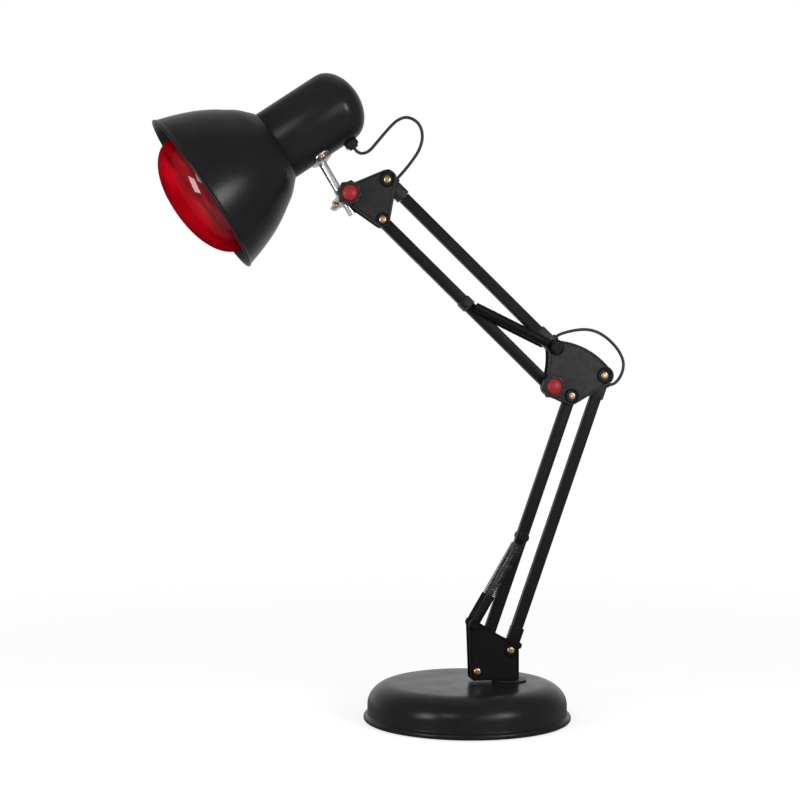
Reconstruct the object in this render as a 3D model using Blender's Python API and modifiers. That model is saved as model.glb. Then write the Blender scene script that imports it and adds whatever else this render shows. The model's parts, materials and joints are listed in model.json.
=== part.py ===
"""An infrared heat lamp: a round weighted base, a two stage parallelogram spring arm and a reflector bulb.

Units are metres and +Z is up. The origin is under the centre of the base, and the arm lies in the XZ plane,
with the near side at -Y. Every moving body hangs from an empty that stands on its joint's axis.
"""

import math

import bmesh
import bpy
from mathutils import Matrix, Vector

# Clearances and counts
GAP = 0.0003
OVERRUN = 0.004
WELD = 1e-6
ROUND_STEPS = 32
BULB_STEPS = 24
SMALL_STEPS = 8
HOLE_STEPS = 10
ARC_STEP = math.radians(24)
BULGE_POINTS = 5
SMOOTH_ANGLE = math.radians(40)

# Base
BASE_RADIUS = 0.0995
BASE_HEIGHT = 0.0378
BASE_WALL = 0.0012
BASE_FLOOR_GAP = 0.0008
BASE_LIP_OVERHANG = 0.004
BASE_LIP_HEIGHT = 0.0055
BASE_SHOULDER_REACH = 0.025
BASE_SHOULDER_DROP = 0.022
BASE_LIP_SHARES = ((0.0, 1.0), (0.7, 0.88), (1.0, 0.45), (0.7, 0.0))
SHOULDER_POINTS = 5
PAD_THICKNESS = 0.002
PAD_EDGE_GAP = 0.0004
WEIGHT_THICKNESS = 0.010

# Spindle
SPINDLE_X = 0.043
SPINDLE_RADIUS = 0.004
SPINDLE_TAIL = 0.002
SPINDLE_TOP_DROP = 0.0015
NUT_RADIUS = 0.008
NUT_HEIGHT = 0.005
WASHER_RADIUS = 0.0175
WASHER_THICKNESS = 0.0012

# Bracket cheeks, shared by all three brackets
CHEEK_INNER = 0.0057
CHEEK_THICKNESS = 0.0022
SPACER_HALF_DEPTH = 0.0054

# Base bracket, with its places measured from the front pivot
FRONT_PIVOT_X = 0.0091
FRONT_PIVOT_RISE = 0.009
LOWER_LINK_X = 0.03405
LOWER_LINK_Z = 0.0204
SPRING_ANCHOR_BACK = 0.0037
SPRING_ANCHOR_RISE = 0.0473
BASE_EAR_RADIUS = 0.005
BASE_REAR_RADIUS = 0.0084
BASE_TOE_REACH = 0.0068
BASE_TOE_RADIUS = 0.004
BASE_HEEL_RADIUS = 0.0015
BASE_TOP_HOLLOW = 0.0014
CORE_FRONT_REACH = 0.019
CORE_REAR_REACH = 0.009
CORE_HEIGHT = 0.0175
CORE_CORNER = 0.0015

# Bars
BAR_WIDTH = 0.011
BAR_DEPTH = 0.010
BAR_WALL = 0.001
BAR_CORNER = 0.0015
LOWER_BAR_LENGTH = 0.2914
LOWER_BAR_LEAN = math.radians(19.4)
UPPER_BAR_LENGTH = 0.2379
UPPER_BAR_LEAN = math.radians(-46.0)

# End caps of the hollow rear bars
CAP_WIDTH = 0.0134
CAP_DEPTH = 0.0104
CAP_OUTBOARD = 0.0085
CAP_INBOARD = 0.024
CAP_CORNER = 0.003
CAP_INNER_CORNER = 0.0008
TONGUE_LENGTH = 0.008
TONGUE_SEAT = 0.006
MOUTH_ALONG = 0.0065
MOUTH_HEIGHT = 0.0095
MOUTH_RADIUS = 0.0033
FLEX_BEND = 0.007
FLEX_STRAIGHT = 0.0035
BEND_STEPS = 5

# Screws, pins and bolts
SHANK_RADIUS = 0.002
BOLT_RADIUS = 0.00175
HEAD_RADIUS = 0.0044
HEAD_THICKNESS = 0.0012
NUT_THICKNESS = 0.0024
PIN_REACH = 0.0104
PIN_HEAD_THICKNESS = 0.0022
SPRING_PIN_HEAD_RADIUS = 0.005
ELBOW_PIN_HEAD_RADIUS = 0.006

HEAD_FLAT_SHARE = 0.7
HEAD_EDGE_SHARE = 0.4

# Elbow bracket, with its places measured from the lower front bar's top pivot
ELBOW_KNOB_BACK = 0.0207
ELBOW_KNOB_RISE = 0.0089
UPPER_LINK_X = 0.0046
UPPER_LINK_Z = 0.03955
ELBOW_KNOB_EAR = 0.0085
ELBOW_FRONT_EAR = 0.009
ELBOW_REAR_EAR = 0.0095
ELBOW_TOP_EAR = 0.008
ELBOW_TOP_BULGE = 0.0055
ELBOW_LEFT_HOLLOW = 0.0025
SPACER_START_SHARE = 0.33
SPACER_END_SHARE = 0.74
SPACER_RADIUS = 0.0013
SPACER_INSET = 0.0006

# Head bracket, with the clamp bolt measured from the upper rear bar's top pivot
CLAMP_BOLT_BACK = 0.0385
CLAMP_BOLT_DROP = 0.0153
HEAD_FRONT_EAR = 0.0075
HEAD_REAR_EAR = 0.0098
HEAD_NOSE_EAR = 0.0085

# Knobs
KNOB_RADIUS = 0.0122
KNOB_LOBE = 0.0009
KNOB_LOBES = 8
KNOB_POINTS = 32
KNOB_THICKNESS = 0.011
KNOB_BOLT_REACH = 0.008
KNOB_CAP_RADIUS = 0.008
KNOB_CAP_RISE = 0.0028
KNOB_CAP_SHARES = ((0.0, 1.0), (0.45, 0.86), (0.8, 0.5), (1.0, 0.0))

# Springs
WIRE_RADIUS = 0.0006
SPRING_OFFSET = 0.0106
HOOK_OFFSET = 0.0093
COIL_RADIUS = 0.0036
COIL_PITCH = 0.0022
COIL_CURLS = 28
CURL_POINTS = 8
COIL_START = 0.009
COIL_LEAD = 0.0015
HOOK_POINTS = 11
HOOK_SWEEP = math.radians(250)
LOWER_SPRING_UP_BAR = 0.1415
SLEEVE_RADIUS = 0.005
SLEEVE_BORE = 0.0045
SLEEVE_COIL_GAP = 0.0006
SLEEVE_END_GAP = 0.001
UPPER_SPRING_UP_BAR = 0.1199
UPPER_SLEEVE_FRONT = 0.0085
UPPER_SLEEVE_REAR = 0.0095
SLEEVE_STEPS = 16
COLLAR_LENGTH = 0.0125
COLLAR_WALL = 0.0015
COLLAR_HEAD_RADIUS = 0.0048

# Tilt clamp and rod
ROD_RADIUS = 0.0037
ROD_LEAN = math.radians(31.0)
ROD_TAIL = 0.019
ROD_REACH = 0.0411
CLAMP_INNER = 0.003
CLAMP_OUTER = 0.0052
CLAMP_BOLT_EAR = 0.007
CLAMP_SCREW_EAR = 0.0046
CLAMP_SCREW_BEYOND = 0.0109
CLAMP_SCREW_DROP = 0.0027
CLAMP_SCREW_HEAD = 0.0034
CLAMP_SCREW_HEAD_THICKNESS = 0.0016

# Lamp head, with its stations measured along the lamp's axis from the shade's mouth
HEAD_PITCH = math.radians(34.2)
SHADE_WALL = 0.0012
SHADE_MOUTH_RADIUS = 0.0858
SHADE_NECK_RADIUS = 0.0375
SHADE_DEPTH = 0.0864
SHADE_PROFILE_SHARES = (
    (1.0, 0.0), (0.95, 0.095), (0.86, 0.255), (0.74, 0.42), (0.6, 0.59), (0.44, 0.742), (0.24, 0.892),
    (0.0, 1.0),
)
SHADE_NECK_OPENING = 0.029
HOUSING_RADIUS = 0.0362
HOUSING_STRAIGHT = 0.0713
DOME_LENGTH = 0.0263
DOME_POINTS = 4
SADDLE_OFFSET = 0.117
SADDLE_LENGTH = 0.028
SADDLE_THICKNESS = 0.0012
SADDLE_HALF_ANGLE = math.radians(31)
SADDLE_POINTS = 11
SADDLE_SCREW_ANGLE = math.radians(23)
SADDLE_SCREW_RADIUS = 0.0015
SADDLE_SCREW_LENGTH = 0.004
SADDLE_SCREW_HEAD = 0.0031
SADDLE_SCREW_DOME = 0.0018
GLAND_OFFSET = 0.152
GLAND_FLANGE_RADIUS = 0.0065
GLAND_FLANGE_THICKNESS = 0.0036
GLAND_NOSE_RADIUS = 0.005
GLAND_NOSE_LENGTH = 0.0046
GLAND_TAIL_RADIUS = 0.0035
GLAND_TAIL_LENGTH = 0.003
FLEX_RADIUS = 0.00155
FLEX_CLEARANCE = 0.00045

# Bulb and lampholder, on the same stations
BULB_RADIUS = 0.0625
BULB_FRONT = 0.032
BULB_NECK_END = 0.1075
BULB_FRONT_SHARES = (
    (0.97, 0.15), (0.905, -0.1), (0.816, -0.47), (0.65, -0.75), (0.4, -0.92), (0.0, -1.0),
)
BULB_BACK_SHARES = (
    (0.26, 1.0), (0.3, 0.89), (0.41, 0.76), (0.56, 0.61), (0.785, 0.4), (0.92, 0.26), (1.0, 0.12),
)
BULB_WALL = 0.0011
BULB_CAP_RADIUS = 0.0134
BULB_CAP_LENGTH = 0.0255
BULB_CAP_TIP = 0.006
BULB_CAP_BUTTON = 0.0045
BULB_CAP_WALL = 0.0006
SOCKET_RADIUS = 0.020
SOCKET_LENGTH = 0.0475
SOCKET_BORE_CLEARANCE = 0.0005
SOCKET_STEM_RADIUS = 0.005
SOCKET_STEM_TAPER = 0.0008

# Grommet in the bottom cap's cable mouth
GROMMET_RISE = 0.0012
GROMMET_DOME = 0.0009
GROMMET_TAIL = 0.002

# Places that follow from the sizes above
BRACKET_FLOOR = BASE_HEIGHT + GAP + WASHER_THICKNESS + GAP
CHEEK_OUTER = CHEEK_INNER + CHEEK_THICKNESS
HOLE_RADIUS = SHANK_RADIUS + GAP
BOLT_HOLE_RADIUS = BOLT_RADIUS + GAP
BORE_RADIUS = FLEX_RADIUS + FLEX_CLEARANCE
LOWER_BAR_DIR = Vector((math.sin(LOWER_BAR_LEAN), 0, math.cos(LOWER_BAR_LEAN)))
UPPER_BAR_DIR = Vector((math.sin(UPPER_BAR_LEAN), 0, math.cos(UPPER_BAR_LEAN)))
LOWER_SIDE = Vector((LOWER_BAR_DIR.z, 0, -LOWER_BAR_DIR.x))
UPPER_SIDE = Vector((UPPER_BAR_DIR.z, 0, -UPPER_BAR_DIR.x))
PIVOT_A = Vector((FRONT_PIVOT_X, 0, BRACKET_FLOOR + FRONT_PIVOT_RISE))
PIVOT_B = PIVOT_A + Vector((LOWER_LINK_X, 0, LOWER_LINK_Z))
PIVOT_C = PIVOT_A + LOWER_BAR_DIR * LOWER_BAR_LENGTH
PIVOT_D = PIVOT_B + LOWER_BAR_DIR * LOWER_BAR_LENGTH
PIVOT_E = PIVOT_C + Vector((-ELBOW_KNOB_BACK, 0, ELBOW_KNOB_RISE))
PIVOT_F = PIVOT_E + Vector((UPPER_LINK_X, 0, UPPER_LINK_Z))
PIVOT_G = PIVOT_E + UPPER_BAR_DIR * UPPER_BAR_LENGTH
PIVOT_H = PIVOT_F + UPPER_BAR_DIR * UPPER_BAR_LENGTH
PIVOT_K = PIVOT_H - Vector((CLAMP_BOLT_BACK, 0, CLAMP_BOLT_DROP))
ANCHOR_LOW = PIVOT_A + Vector((-SPRING_ANCHOR_BACK, 0, SPRING_ANCHOR_RISE))
ANCHOR_LOW_BAR = PIVOT_A + LOWER_BAR_DIR * LOWER_SPRING_UP_BAR
ANCHOR_HIGH_BAR = PIVOT_E + UPPER_BAR_DIR * UPPER_SPRING_UP_BAR
SPINDLE_AXIS = Vector((SPINDLE_X, 0, 0))
ROD_UP = Vector((-math.sin(ROD_LEAN), 0, math.cos(ROD_LEAN)))
ROD_SIDE = Vector((-math.cos(ROD_LEAN), 0, -math.sin(ROD_LEAN)))
ROD_FOOT = PIVOT_K + ROD_SIDE * (BOLT_RADIUS + GAP + ROD_RADIUS)
CLAMP_SCREW_AT = ROD_FOOT + ROD_SIDE * CLAMP_SCREW_BEYOND - ROD_UP * CLAMP_SCREW_DROP
HEAD_AXIS = Vector((math.cos(HEAD_PITCH), 0, math.sin(HEAD_PITCH)))
HEAD_DOWN = Vector((math.sin(HEAD_PITCH), 0, -math.cos(HEAD_PITCH)))
SADDLE_INNER = HOUSING_RADIUS + GAP
SADDLE_OUTER = SADDLE_INNER + SADDLE_THICKNESS
SADDLE_AT = ROD_FOOT + ROD_UP * ROD_REACH
MOUTH = SADDLE_AT - HEAD_DOWN * SADDLE_OUTER - HEAD_AXIS * SADDLE_OFFSET
HOUSING_START = SHADE_DEPTH + GAP
HOUSING_END = HOUSING_START + HOUSING_STRAIGHT + DOME_LENGTH

# Routes of the flex, as X and Z in the arm's plane, chosen by hand
HEAD_LOOP = (
    (-0.1108, 0.5653), (-0.1065, 0.5634), (-0.1015, 0.5643), (-0.0970, 0.5674), (-0.0915, 0.5737),
    (-0.0845, 0.5821), (-0.0775, 0.5902), (-0.0705, 0.5967), (-0.0626, 0.6001), (-0.0548, 0.5987),
    (-0.0486, 0.5937), (-0.0455, 0.5861), (-0.0455, 0.5771), (-0.0490, 0.5671), (-0.0556, 0.5569),
    (-0.0628, 0.5477),
)
ELBOW_LOOP = (
    (0.0963, 0.3858), (0.1035, 0.3880), (0.1112, 0.3896), (0.1200, 0.3905), (0.1289, 0.3896),
    (0.1374, 0.3864), (0.1467, 0.3800), (0.1551, 0.3711), (0.1602, 0.3622), (0.1616, 0.3543),
    (0.1600, 0.3466), (0.1563, 0.3400), (0.1515, 0.3357),
)
FLEX_STEP = 0.0065

NEAR, FAR = -1, 1


def clear_scene():
    for obj in list(bpy.data.objects):
        bpy.data.objects.remove(obj, do_unlink=True)


def collection(name):
    made = bpy.data.collections.new(name)
    bpy.context.scene.collection.children.link(made)
    return made


def material(name, colour, roughness, metallic=0.0):
    made = bpy.data.materials.new(name)
    made.use_nodes = True
    shader = made.node_tree.nodes["Principled BSDF"]
    shader.inputs["Base Color"].default_value = (*colour, 1.0)
    shader.inputs["Roughness"].default_value = roughness
    shader.inputs["Metallic"].default_value = metallic
    return made


def body(name, at, parent=None):
    """An empty on a joint's axis, which carries the pieces of one moving body."""
    empty = bpy.data.objects.new(name, None)
    lamp.objects.link(empty)
    empty.parent = parent
    empty["at"] = at
    empty.location = at - (Vector(parent["at"]) if parent else Vector())
    return empty


def place(obj, on, at, turn=None):
    """Hang a piece on its body, at a place given in the lamp's own frame."""
    obj.parent = on
    obj.location = at - Vector(on["at"])
    if turn is not None:
        obj.rotation_euler = turn.to_euler()
    return obj


def finish(obj, colour):
    obj.data.materials.append(colour)
    obj.data.shade_smooth()
    obj.data.set_sharp_from_angle(angle=SMOOTH_ANGLE)
    return obj


def mesh_object(name, mesh, cutter=False):
    obj = bpy.data.objects.new(name, mesh)
    (cutters if cutter else lamp).objects.link(obj)
    obj.hide_render = cutter
    obj.display_type = "WIRE" if cutter else "TEXTURED"
    return obj


def mesh_from_curve(name, curve, cutter=False):
    """A curve's solid as a mesh, with its caps welded on."""
    guide = bpy.data.objects.new(name + "_guide", curve)
    bpy.context.scene.collection.objects.link(guide)
    graph = bpy.context.evaluated_depsgraph_get()
    mesh = bpy.data.meshes.new_from_object(guide.evaluated_get(graph))
    bpy.data.objects.remove(guide, do_unlink=True)
    bm = bmesh.new()
    bm.from_mesh(mesh)
    bmesh.ops.remove_doubles(bm, verts=bm.verts, dist=WELD)
    bmesh.ops.recalc_face_normals(bm, faces=bm.faces)
    bm.to_mesh(mesh)
    bm.free()
    mesh.name = name
    return mesh_object(name, mesh, cutter)


def flat_piece(name, outline, holes, depth, cutter=False):
    """An outline with round holes (x, y, radius), pulled out by a depth about its own plane."""
    curve = bpy.data.curves.new(name + "_outline", "CURVE")
    curve.dimensions = "2D"
    curve.fill_mode = "BOTH"
    curve.extrude = depth / 2
    loops = [outline] + [circle(x, y, radius, HOLE_STEPS) for x, y, radius in holes]
    for loop in loops:
        spline = curve.splines.new("POLY")
        spline.points.add(len(loop) - 1)
        for point, (x, y) in zip(spline.points, loop):
            point.co = (x, y, 0, 1)
        spline.use_cyclic_u = True
    return mesh_from_curve(name, curve, cutter)


def tube(name, points, radius, resolution=1, cutter=False):
    """A round wire through points, with closed ends."""
    curve = bpy.data.curves.new(name + "_path", "CURVE")
    curve.dimensions = "3D"
    curve.bevel_depth = radius
    curve.bevel_resolution = resolution
    curve.use_fill_caps = True
    spline = curve.splines.new("POLY")
    spline.points.add(len(points) - 1)
    for point, co in zip(spline.points, points):
        point.co = (*co, 1)
    return mesh_from_curve(name, curve, cutter)


def turned(name, profile, steps, closed=False, cutter=False):
    """A profile of (radius, height), listed from top to bottom on its outer side, turned about Z."""
    mesh = bpy.data.meshes.new(name)
    edges = [(i, i + 1) for i in range(len(profile) - 1)]
    if closed:
        edges.append((len(profile) - 1, 0))
    mesh.from_pydata([(radius, 0, height) for radius, height in profile], edges, [])
    obj = mesh_object(name, mesh, cutter)
    screw = obj.modifiers.new("Turn", "SCREW")
    screw.axis = "Z"
    screw.steps = steps
    screw.render_steps = steps
    screw.use_merge_vertices = True
    screw.merge_threshold = WELD
    return obj


def cylinder(name, radius, depth, steps=HOLE_STEPS, cutter=False):
    """A cylinder about its own Z axis and centre."""
    bm = bmesh.new()
    bmesh.ops.create_cone(
        bm, cap_ends=True, segments=steps, radius1=radius, radius2=radius, depth=depth
    )
    mesh = bpy.data.meshes.new(name)
    bm.to_mesh(mesh)
    bm.free()
    return mesh_object(name, mesh, cutter)


def box(name, size, cutter=False):
    bm = bmesh.new()
    bmesh.ops.create_cube(bm, size=1, matrix=Matrix.Diagonal((*size, 1)))
    mesh = bpy.data.meshes.new(name)
    bm.to_mesh(mesh)
    bm.free()
    return mesh_object(name, mesh, cutter)


def boolean(obj, other, operation):
    step = obj.modifiers.new(other.name, "BOOLEAN")
    step.operation = operation
    step.object = other
    return obj


def cut(obj, *others):
    for other in others:
        boolean(obj, other, "DIFFERENCE")
    return obj


def join(obj, *others):
    for other in others:
        boolean(obj, other, "UNION")
    return obj


def circle(x, y, radius, steps):
    angles = [math.tau * i / steps for i in range(steps)]
    return [(x + radius * math.cos(a), y + radius * math.sin(a)) for a in angles]


def arc(x, y, radius, start, end):
    """Points from one angle to another, counter-clockwise."""
    sweep = (end - start) % math.tau
    count = max(1, math.ceil(sweep / ARC_STEP))
    angles = [start + sweep * i / count for i in range(count + 1)]
    return [(x + radius * math.cos(a), y + radius * math.sin(a)) for a in angles]


def band_outline(discs, bulges=None):
    """The outline of a band stretched round discs (x, y, radius), listed counter-clockwise.

    A bulge is how far the band's stretch from its disc to the next one bows outwards.
    """
    bulges = bulges or [0] * len(discs)
    stretches = []
    for (x, y, r), (u, v, s) in zip(discs, discs[1:] + discs[:1]):
        along = math.atan2(v - y, u - x)
        far = math.hypot(u - x, v - y)
        normal = along - math.acos((r - s) / far)
        stretches.append((normal, (x + r * math.cos(normal), y + r * math.sin(normal)),
                          (u + s * math.cos(normal), v + s * math.sin(normal))))
    points = []
    for i, (x, y, r) in enumerate(discs):
        normal, start, end = stretches[i]
        points += arc(x, y, r, stretches[i - 1][0], normal)
        if not bulges[i]:
            continue
        for k in range(1, BULGE_POINTS):
            t = k / BULGE_POINTS
            out = 4 * bulges[i] * t * (1 - t)
            points.append((start[0] + (end[0] - start[0]) * t + out * math.cos(normal),
                           start[1] + (end[1] - start[1]) * t + out * math.sin(normal)))
    return points


def flat(point, origin):
    """A place in the arm's plane as (x, z) from an origin."""
    return point.x - origin.x, point.z - origin.z


def smooth_route(points):
    """Evenly stepped points on a smooth curve through the given ones."""
    ends = [points[0] * 2 - points[1], *points, points[-1] * 2 - points[-2]]
    fine = []
    for a, b, c, d in zip(ends, ends[1:], ends[2:], ends[3:]):
        count = max(1, round((c - b).length / FLEX_STEP))
        for k in range(count):
            t = k / count
            fine.append(
                (b * 2 + (c - a) * t + (a * 2 - b * 5 + c * 4 - d) * t**2
                 + (b * 3 - a - c * 3 + d) * t**3) / 2
            )
    return fine + [points[-1]]


# Turns that stand a piece's own Z axis along the lamp's near side, its arms and its head
UPRIGHT = Matrix.Rotation(math.pi / 2, 3, "X")
FACING_FAR = Matrix.Rotation(-math.pi / 2, 3, "X")


def along(direction):
    """A turn that takes Z to a direction in the arm's plane and keeps Y."""
    return Matrix.Rotation(math.atan2(direction.x, direction.z), 3, "Y")


clear_scene()
lamp = collection("infrared_heat_lamp")
cutters = collection("cutters")

BLACK_PAINT = material("black_paint", (0.012, 0.012, 0.013), 0.35)
BLACK_PLASTIC = material("black_plastic", (0.02, 0.02, 0.021), 0.5)
BLACK_STEEL = material("black_steel", (0.016, 0.016, 0.017), 0.4)
BLACK_FLEX = material("black_flex", (0.018, 0.018, 0.018), 0.55)
BRASS = material("brass", (0.71, 0.53, 0.25), 0.3, 1.0)
CHROME = material("chrome", (0.8, 0.81, 0.83), 0.12, 1.0)
STEEL = material("steel", (0.55, 0.55, 0.56), 0.35, 1.0)
CAST_IRON = material("cast_iron", (0.09, 0.09, 0.095), 0.7, 0.8)
RED_PLASTIC = material("red_plastic", (0.55, 0.02, 0.03), 0.4)
RED_GLASS = material("red_glass", (0.6, 0.01, 0.02), 0.08)
RUBBER = material("rubber", (0.02, 0.02, 0.02), 0.85)
PORCELAIN = material("porcelain", (0.85, 0.83, 0.78), 0.3)

base = body("base", Vector())
swivel = body("swivel", SPINDLE_AXIS, base)
lower_rear = body("lower_rear", PIVOT_B, swivel)
lower_front = body("lower_front", PIVOT_A, swivel)
elbow = body("elbow", PIVOT_D, lower_rear)
elbow_knob_body = body("elbow_knob_body", PIVOT_E, elbow)
upper_rear = body("upper_rear", PIVOT_F, elbow)
upper_front = body("upper_front", PIVOT_E, elbow)
head_bracket = body("head_bracket", PIVOT_H, upper_rear)
head_knob_body = body("head_knob_body", PIVOT_K, head_bracket)
tilt_clamp = body("tilt_clamp", PIVOT_K, head_bracket)
lamp_head = body("lamp_head", ROD_FOOT, tilt_clamp)

# The rear bars' end caps, each with its pivot, the way into its bar and the side of its flex mouth
CAPS = (
    ("lower_cap_bottom", lower_rear, PIVOT_B, LOWER_BAR_DIR, LOWER_SIDE),
    ("lower_cap_top", lower_rear, PIVOT_D, -LOWER_BAR_DIR, LOWER_SIDE),
    ("upper_cap_bottom", upper_rear, PIVOT_F, UPPER_BAR_DIR, UPPER_SIDE),
    ("upper_cap_top", upper_rear, PIVOT_H, -UPPER_BAR_DIR, UPPER_SIDE),
)


def drill(name, on, at, radius, depth, turn):
    """A round cutter about a place, standing along the turn's Z axis."""
    return place(cylinder(name, radius, depth, cutter=True), on, at, turn)


def shoulder(radius, top, reach, drop):
    """A quarter ellipse from the flat top out to the wall."""
    angles = [math.pi / 2 * i / SHOULDER_POINTS for i in range(SHOULDER_POINTS + 1)]
    return [(radius - reach + reach * math.sin(a), top - drop + drop * math.cos(a)) for a in angles]


def build_base():
    inner = BASE_RADIUS - BASE_WALL
    lip = [(BASE_RADIUS + BASE_LIP_OVERHANG * x, BASE_FLOOR_GAP + BASE_LIP_HEIGHT * z)
           for x, z in BASE_LIP_SHARES]
    profile = [(0, BASE_HEIGHT)]
    profile += shoulder(BASE_RADIUS, BASE_HEIGHT, BASE_SHOULDER_REACH, BASE_SHOULDER_DROP)
    profile += lip
    profile.append((inner, BASE_FLOOR_GAP))
    profile += shoulder(inner, BASE_HEIGHT - BASE_WALL, BASE_SHOULDER_REACH, BASE_SHOULDER_DROP)[::-1]
    profile.append((0, BASE_HEIGHT - BASE_WALL))
    cover = turned("base_cover", profile, ROUND_STEPS)
    place(finish(cover, BLACK_PAINT), base, Vector())
    cut(cover, drill("cover_hole", base, SPINDLE_AXIS + Vector((0, 0, BASE_HEIGHT)),
                     SPINDLE_RADIUS + GAP, BASE_WALL + OVERRUN, Matrix.Identity(3)))

    pad_radius = inner - PAD_EDGE_GAP
    pad = turned("base_pad", [(0, PAD_THICKNESS), (pad_radius, PAD_THICKNESS), (pad_radius, 0), (0, 0)],
                 ROUND_STEPS)
    place(finish(pad, RUBBER), base, Vector())

    weight_radius = inner - GAP
    low = PAD_THICKNESS + GAP
    high = low + WEIGHT_THICKNESS
    weight = turned("base_weight", [(0, high), (weight_radius, high), (weight_radius, low), (0, low)],
                    ROUND_STEPS)
    place(finish(weight, CAST_IRON), base, Vector())

    nut_top = BASE_HEIGHT - BASE_WALL - GAP
    nut_foot = nut_top - NUT_HEIGHT
    top = BRACKET_FLOOR + CORE_HEIGHT - SPINDLE_TOP_DROP
    spindle = turned("spindle", [
        (0, top), (SPINDLE_RADIUS, top), (SPINDLE_RADIUS, nut_top), (NUT_RADIUS, nut_top),
        (NUT_RADIUS, nut_foot), (SPINDLE_RADIUS, nut_foot), (SPINDLE_RADIUS, nut_foot - SPINDLE_TAIL),
        (0, nut_foot - SPINDLE_TAIL)], HOLE_STEPS)
    place(finish(spindle, STEEL), base, SPINDLE_AXIS)

    washer_foot = BASE_HEIGHT + GAP
    washer_top = washer_foot + WASHER_THICKNESS
    washer = turned("base_washer", [
        (SPINDLE_RADIUS + GAP, washer_top), (WASHER_RADIUS, washer_top), (WASHER_RADIUS, washer_foot),
        (SPINDLE_RADIUS + GAP, washer_foot)], ROUND_STEPS // 2, closed=True)
    place(finish(washer, BLACK_PLASTIC), base, SPINDLE_AXIS)


def cheek(name, on, origin, discs, bulges, holes, side, colour):
    """One side plate of a bracket, its places given from an origin in the arm's plane."""
    piece = flat_piece(name, band_outline(discs, bulges), holes, CHEEK_THICKNESS)
    centre = (CHEEK_INNER + CHEEK_OUTER) / 2
    return place(finish(piece, colour), on, origin + Vector((0, side * centre, 0)), UPRIGHT)


def headed_shank(name, reach, tail, head_radius, head_thickness, nut_radius, nut_thickness, radius, colour):
    """A turned screw or pin: head above its reach, shank, nut below its tail."""
    profile = [
        (0, reach + head_thickness), (head_radius * HEAD_FLAT_SHARE, reach + head_thickness),
        (head_radius, reach + head_thickness * HEAD_EDGE_SHARE), (head_radius, reach), (radius, reach),
        (radius, -tail), (nut_radius, -tail), (nut_radius, -tail - nut_thickness),
        (0, -tail - nut_thickness)]
    return finish(turned(name, profile, SMALL_STEPS), colour)


def pivot_screw(name, on, at):
    reach = CHEEK_OUTER + GAP
    screw = headed_shank(name, reach, reach, HEAD_RADIUS, HEAD_THICKNESS, HEAD_RADIUS, NUT_THICKNESS,
                         SHANK_RADIUS, BRASS)
    return place(screw, on, at, UPRIGHT)


def stub_pin(name, on, at, side, foot, radius, head_radius):
    """A pin that stands on a plate's outer face, with a wide head outside the spring's hook."""
    profile = [
        (0, PIN_REACH + PIN_HEAD_THICKNESS), (head_radius, PIN_REACH + PIN_HEAD_THICKNESS),
        (head_radius, PIN_REACH), (radius, PIN_REACH), (radius, foot), (0, foot)]
    pin = turned(name, profile, SMALL_STEPS, cutter=True)
    return place(pin, on, at, UPRIGHT if side == NEAR else FACING_FAR)


def build_base_bracket():
    origin = PIVOT_A
    heel_x, _ = flat(PIVOT_B, origin)
    floor = BRACKET_FLOOR - origin.z
    anchor = flat(ANCHOR_LOW, origin)
    discs = [
        (-BASE_TOE_REACH + BASE_TOE_RADIUS, floor + BASE_TOE_RADIUS, BASE_TOE_RADIUS),
        (heel_x + BASE_REAR_RADIUS - BASE_HEEL_RADIUS, floor + BASE_HEEL_RADIUS, BASE_HEEL_RADIUS),
        (*flat(PIVOT_B, origin), BASE_REAR_RADIUS),
        (*anchor, BASE_EAR_RADIUS)]
    holes = [(0, 0, HOLE_RADIUS), (*flat(PIVOT_B, origin), HOLE_RADIUS)]
    for side, word in ((NEAR, "near"), (FAR, "far")):
        plate = cheek("base_cheek_" + word, swivel, origin, discs, [0, 0, -BASE_TOP_HOLLOW, 0], holes, side,
                      BLACK_PLASTIC)
        foot = (CHEEK_INNER + CHEEK_OUTER) / 2
        join(plate, stub_pin("anchor_pin_" + word, swivel, ANCHOR_LOW, side, foot, SHANK_RADIUS,
                             SPRING_PIN_HEAD_RADIUS))

    left, right = SPINDLE_X - CORE_FRONT_REACH, SPINDLE_X + CORE_REAR_REACH
    low, high = BRACKET_FLOOR, BRACKET_FLOOR + CORE_HEIGHT
    corners = [(x, z, CORE_CORNER) for x, z in (
        (left + CORE_CORNER, low + CORE_CORNER), (right - CORE_CORNER, low + CORE_CORNER),
        (right - CORE_CORNER, high - CORE_CORNER), (left + CORE_CORNER, high - CORE_CORNER))]
    core = flat_piece("base_core", band_outline(corners), [], 2 * SPACER_HALF_DEPTH)
    place(finish(core, BLACK_PLASTIC), swivel, Vector(), UPRIGHT)
    middle = SPINDLE_AXIS + Vector((0, 0, (low + high) / 2))
    cut(core, drill("core_bore", swivel, middle, SPINDLE_RADIUS + GAP, CORE_HEIGHT + OVERRUN,
                    Matrix.Identity(3)))
    pivot_screw("base_screw_front", swivel, PIVOT_A)
    pivot_screw("base_screw_rear", swivel, PIVOT_B)


def front_bar(name, on, start, end, holes):
    """A solid flat bar with round ends, drilled at its pivots and its spring pin."""
    half = BAR_WIDTH / 2
    discs = [(0, 0, half), (*flat(end, start), half)]
    piece = flat_piece(name, band_outline(discs), [(*flat(at, start), radius) for at, radius in holes],
                       BAR_DEPTH)
    return place(finish(piece, BLACK_STEEL), on, start, UPRIGHT)


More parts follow.
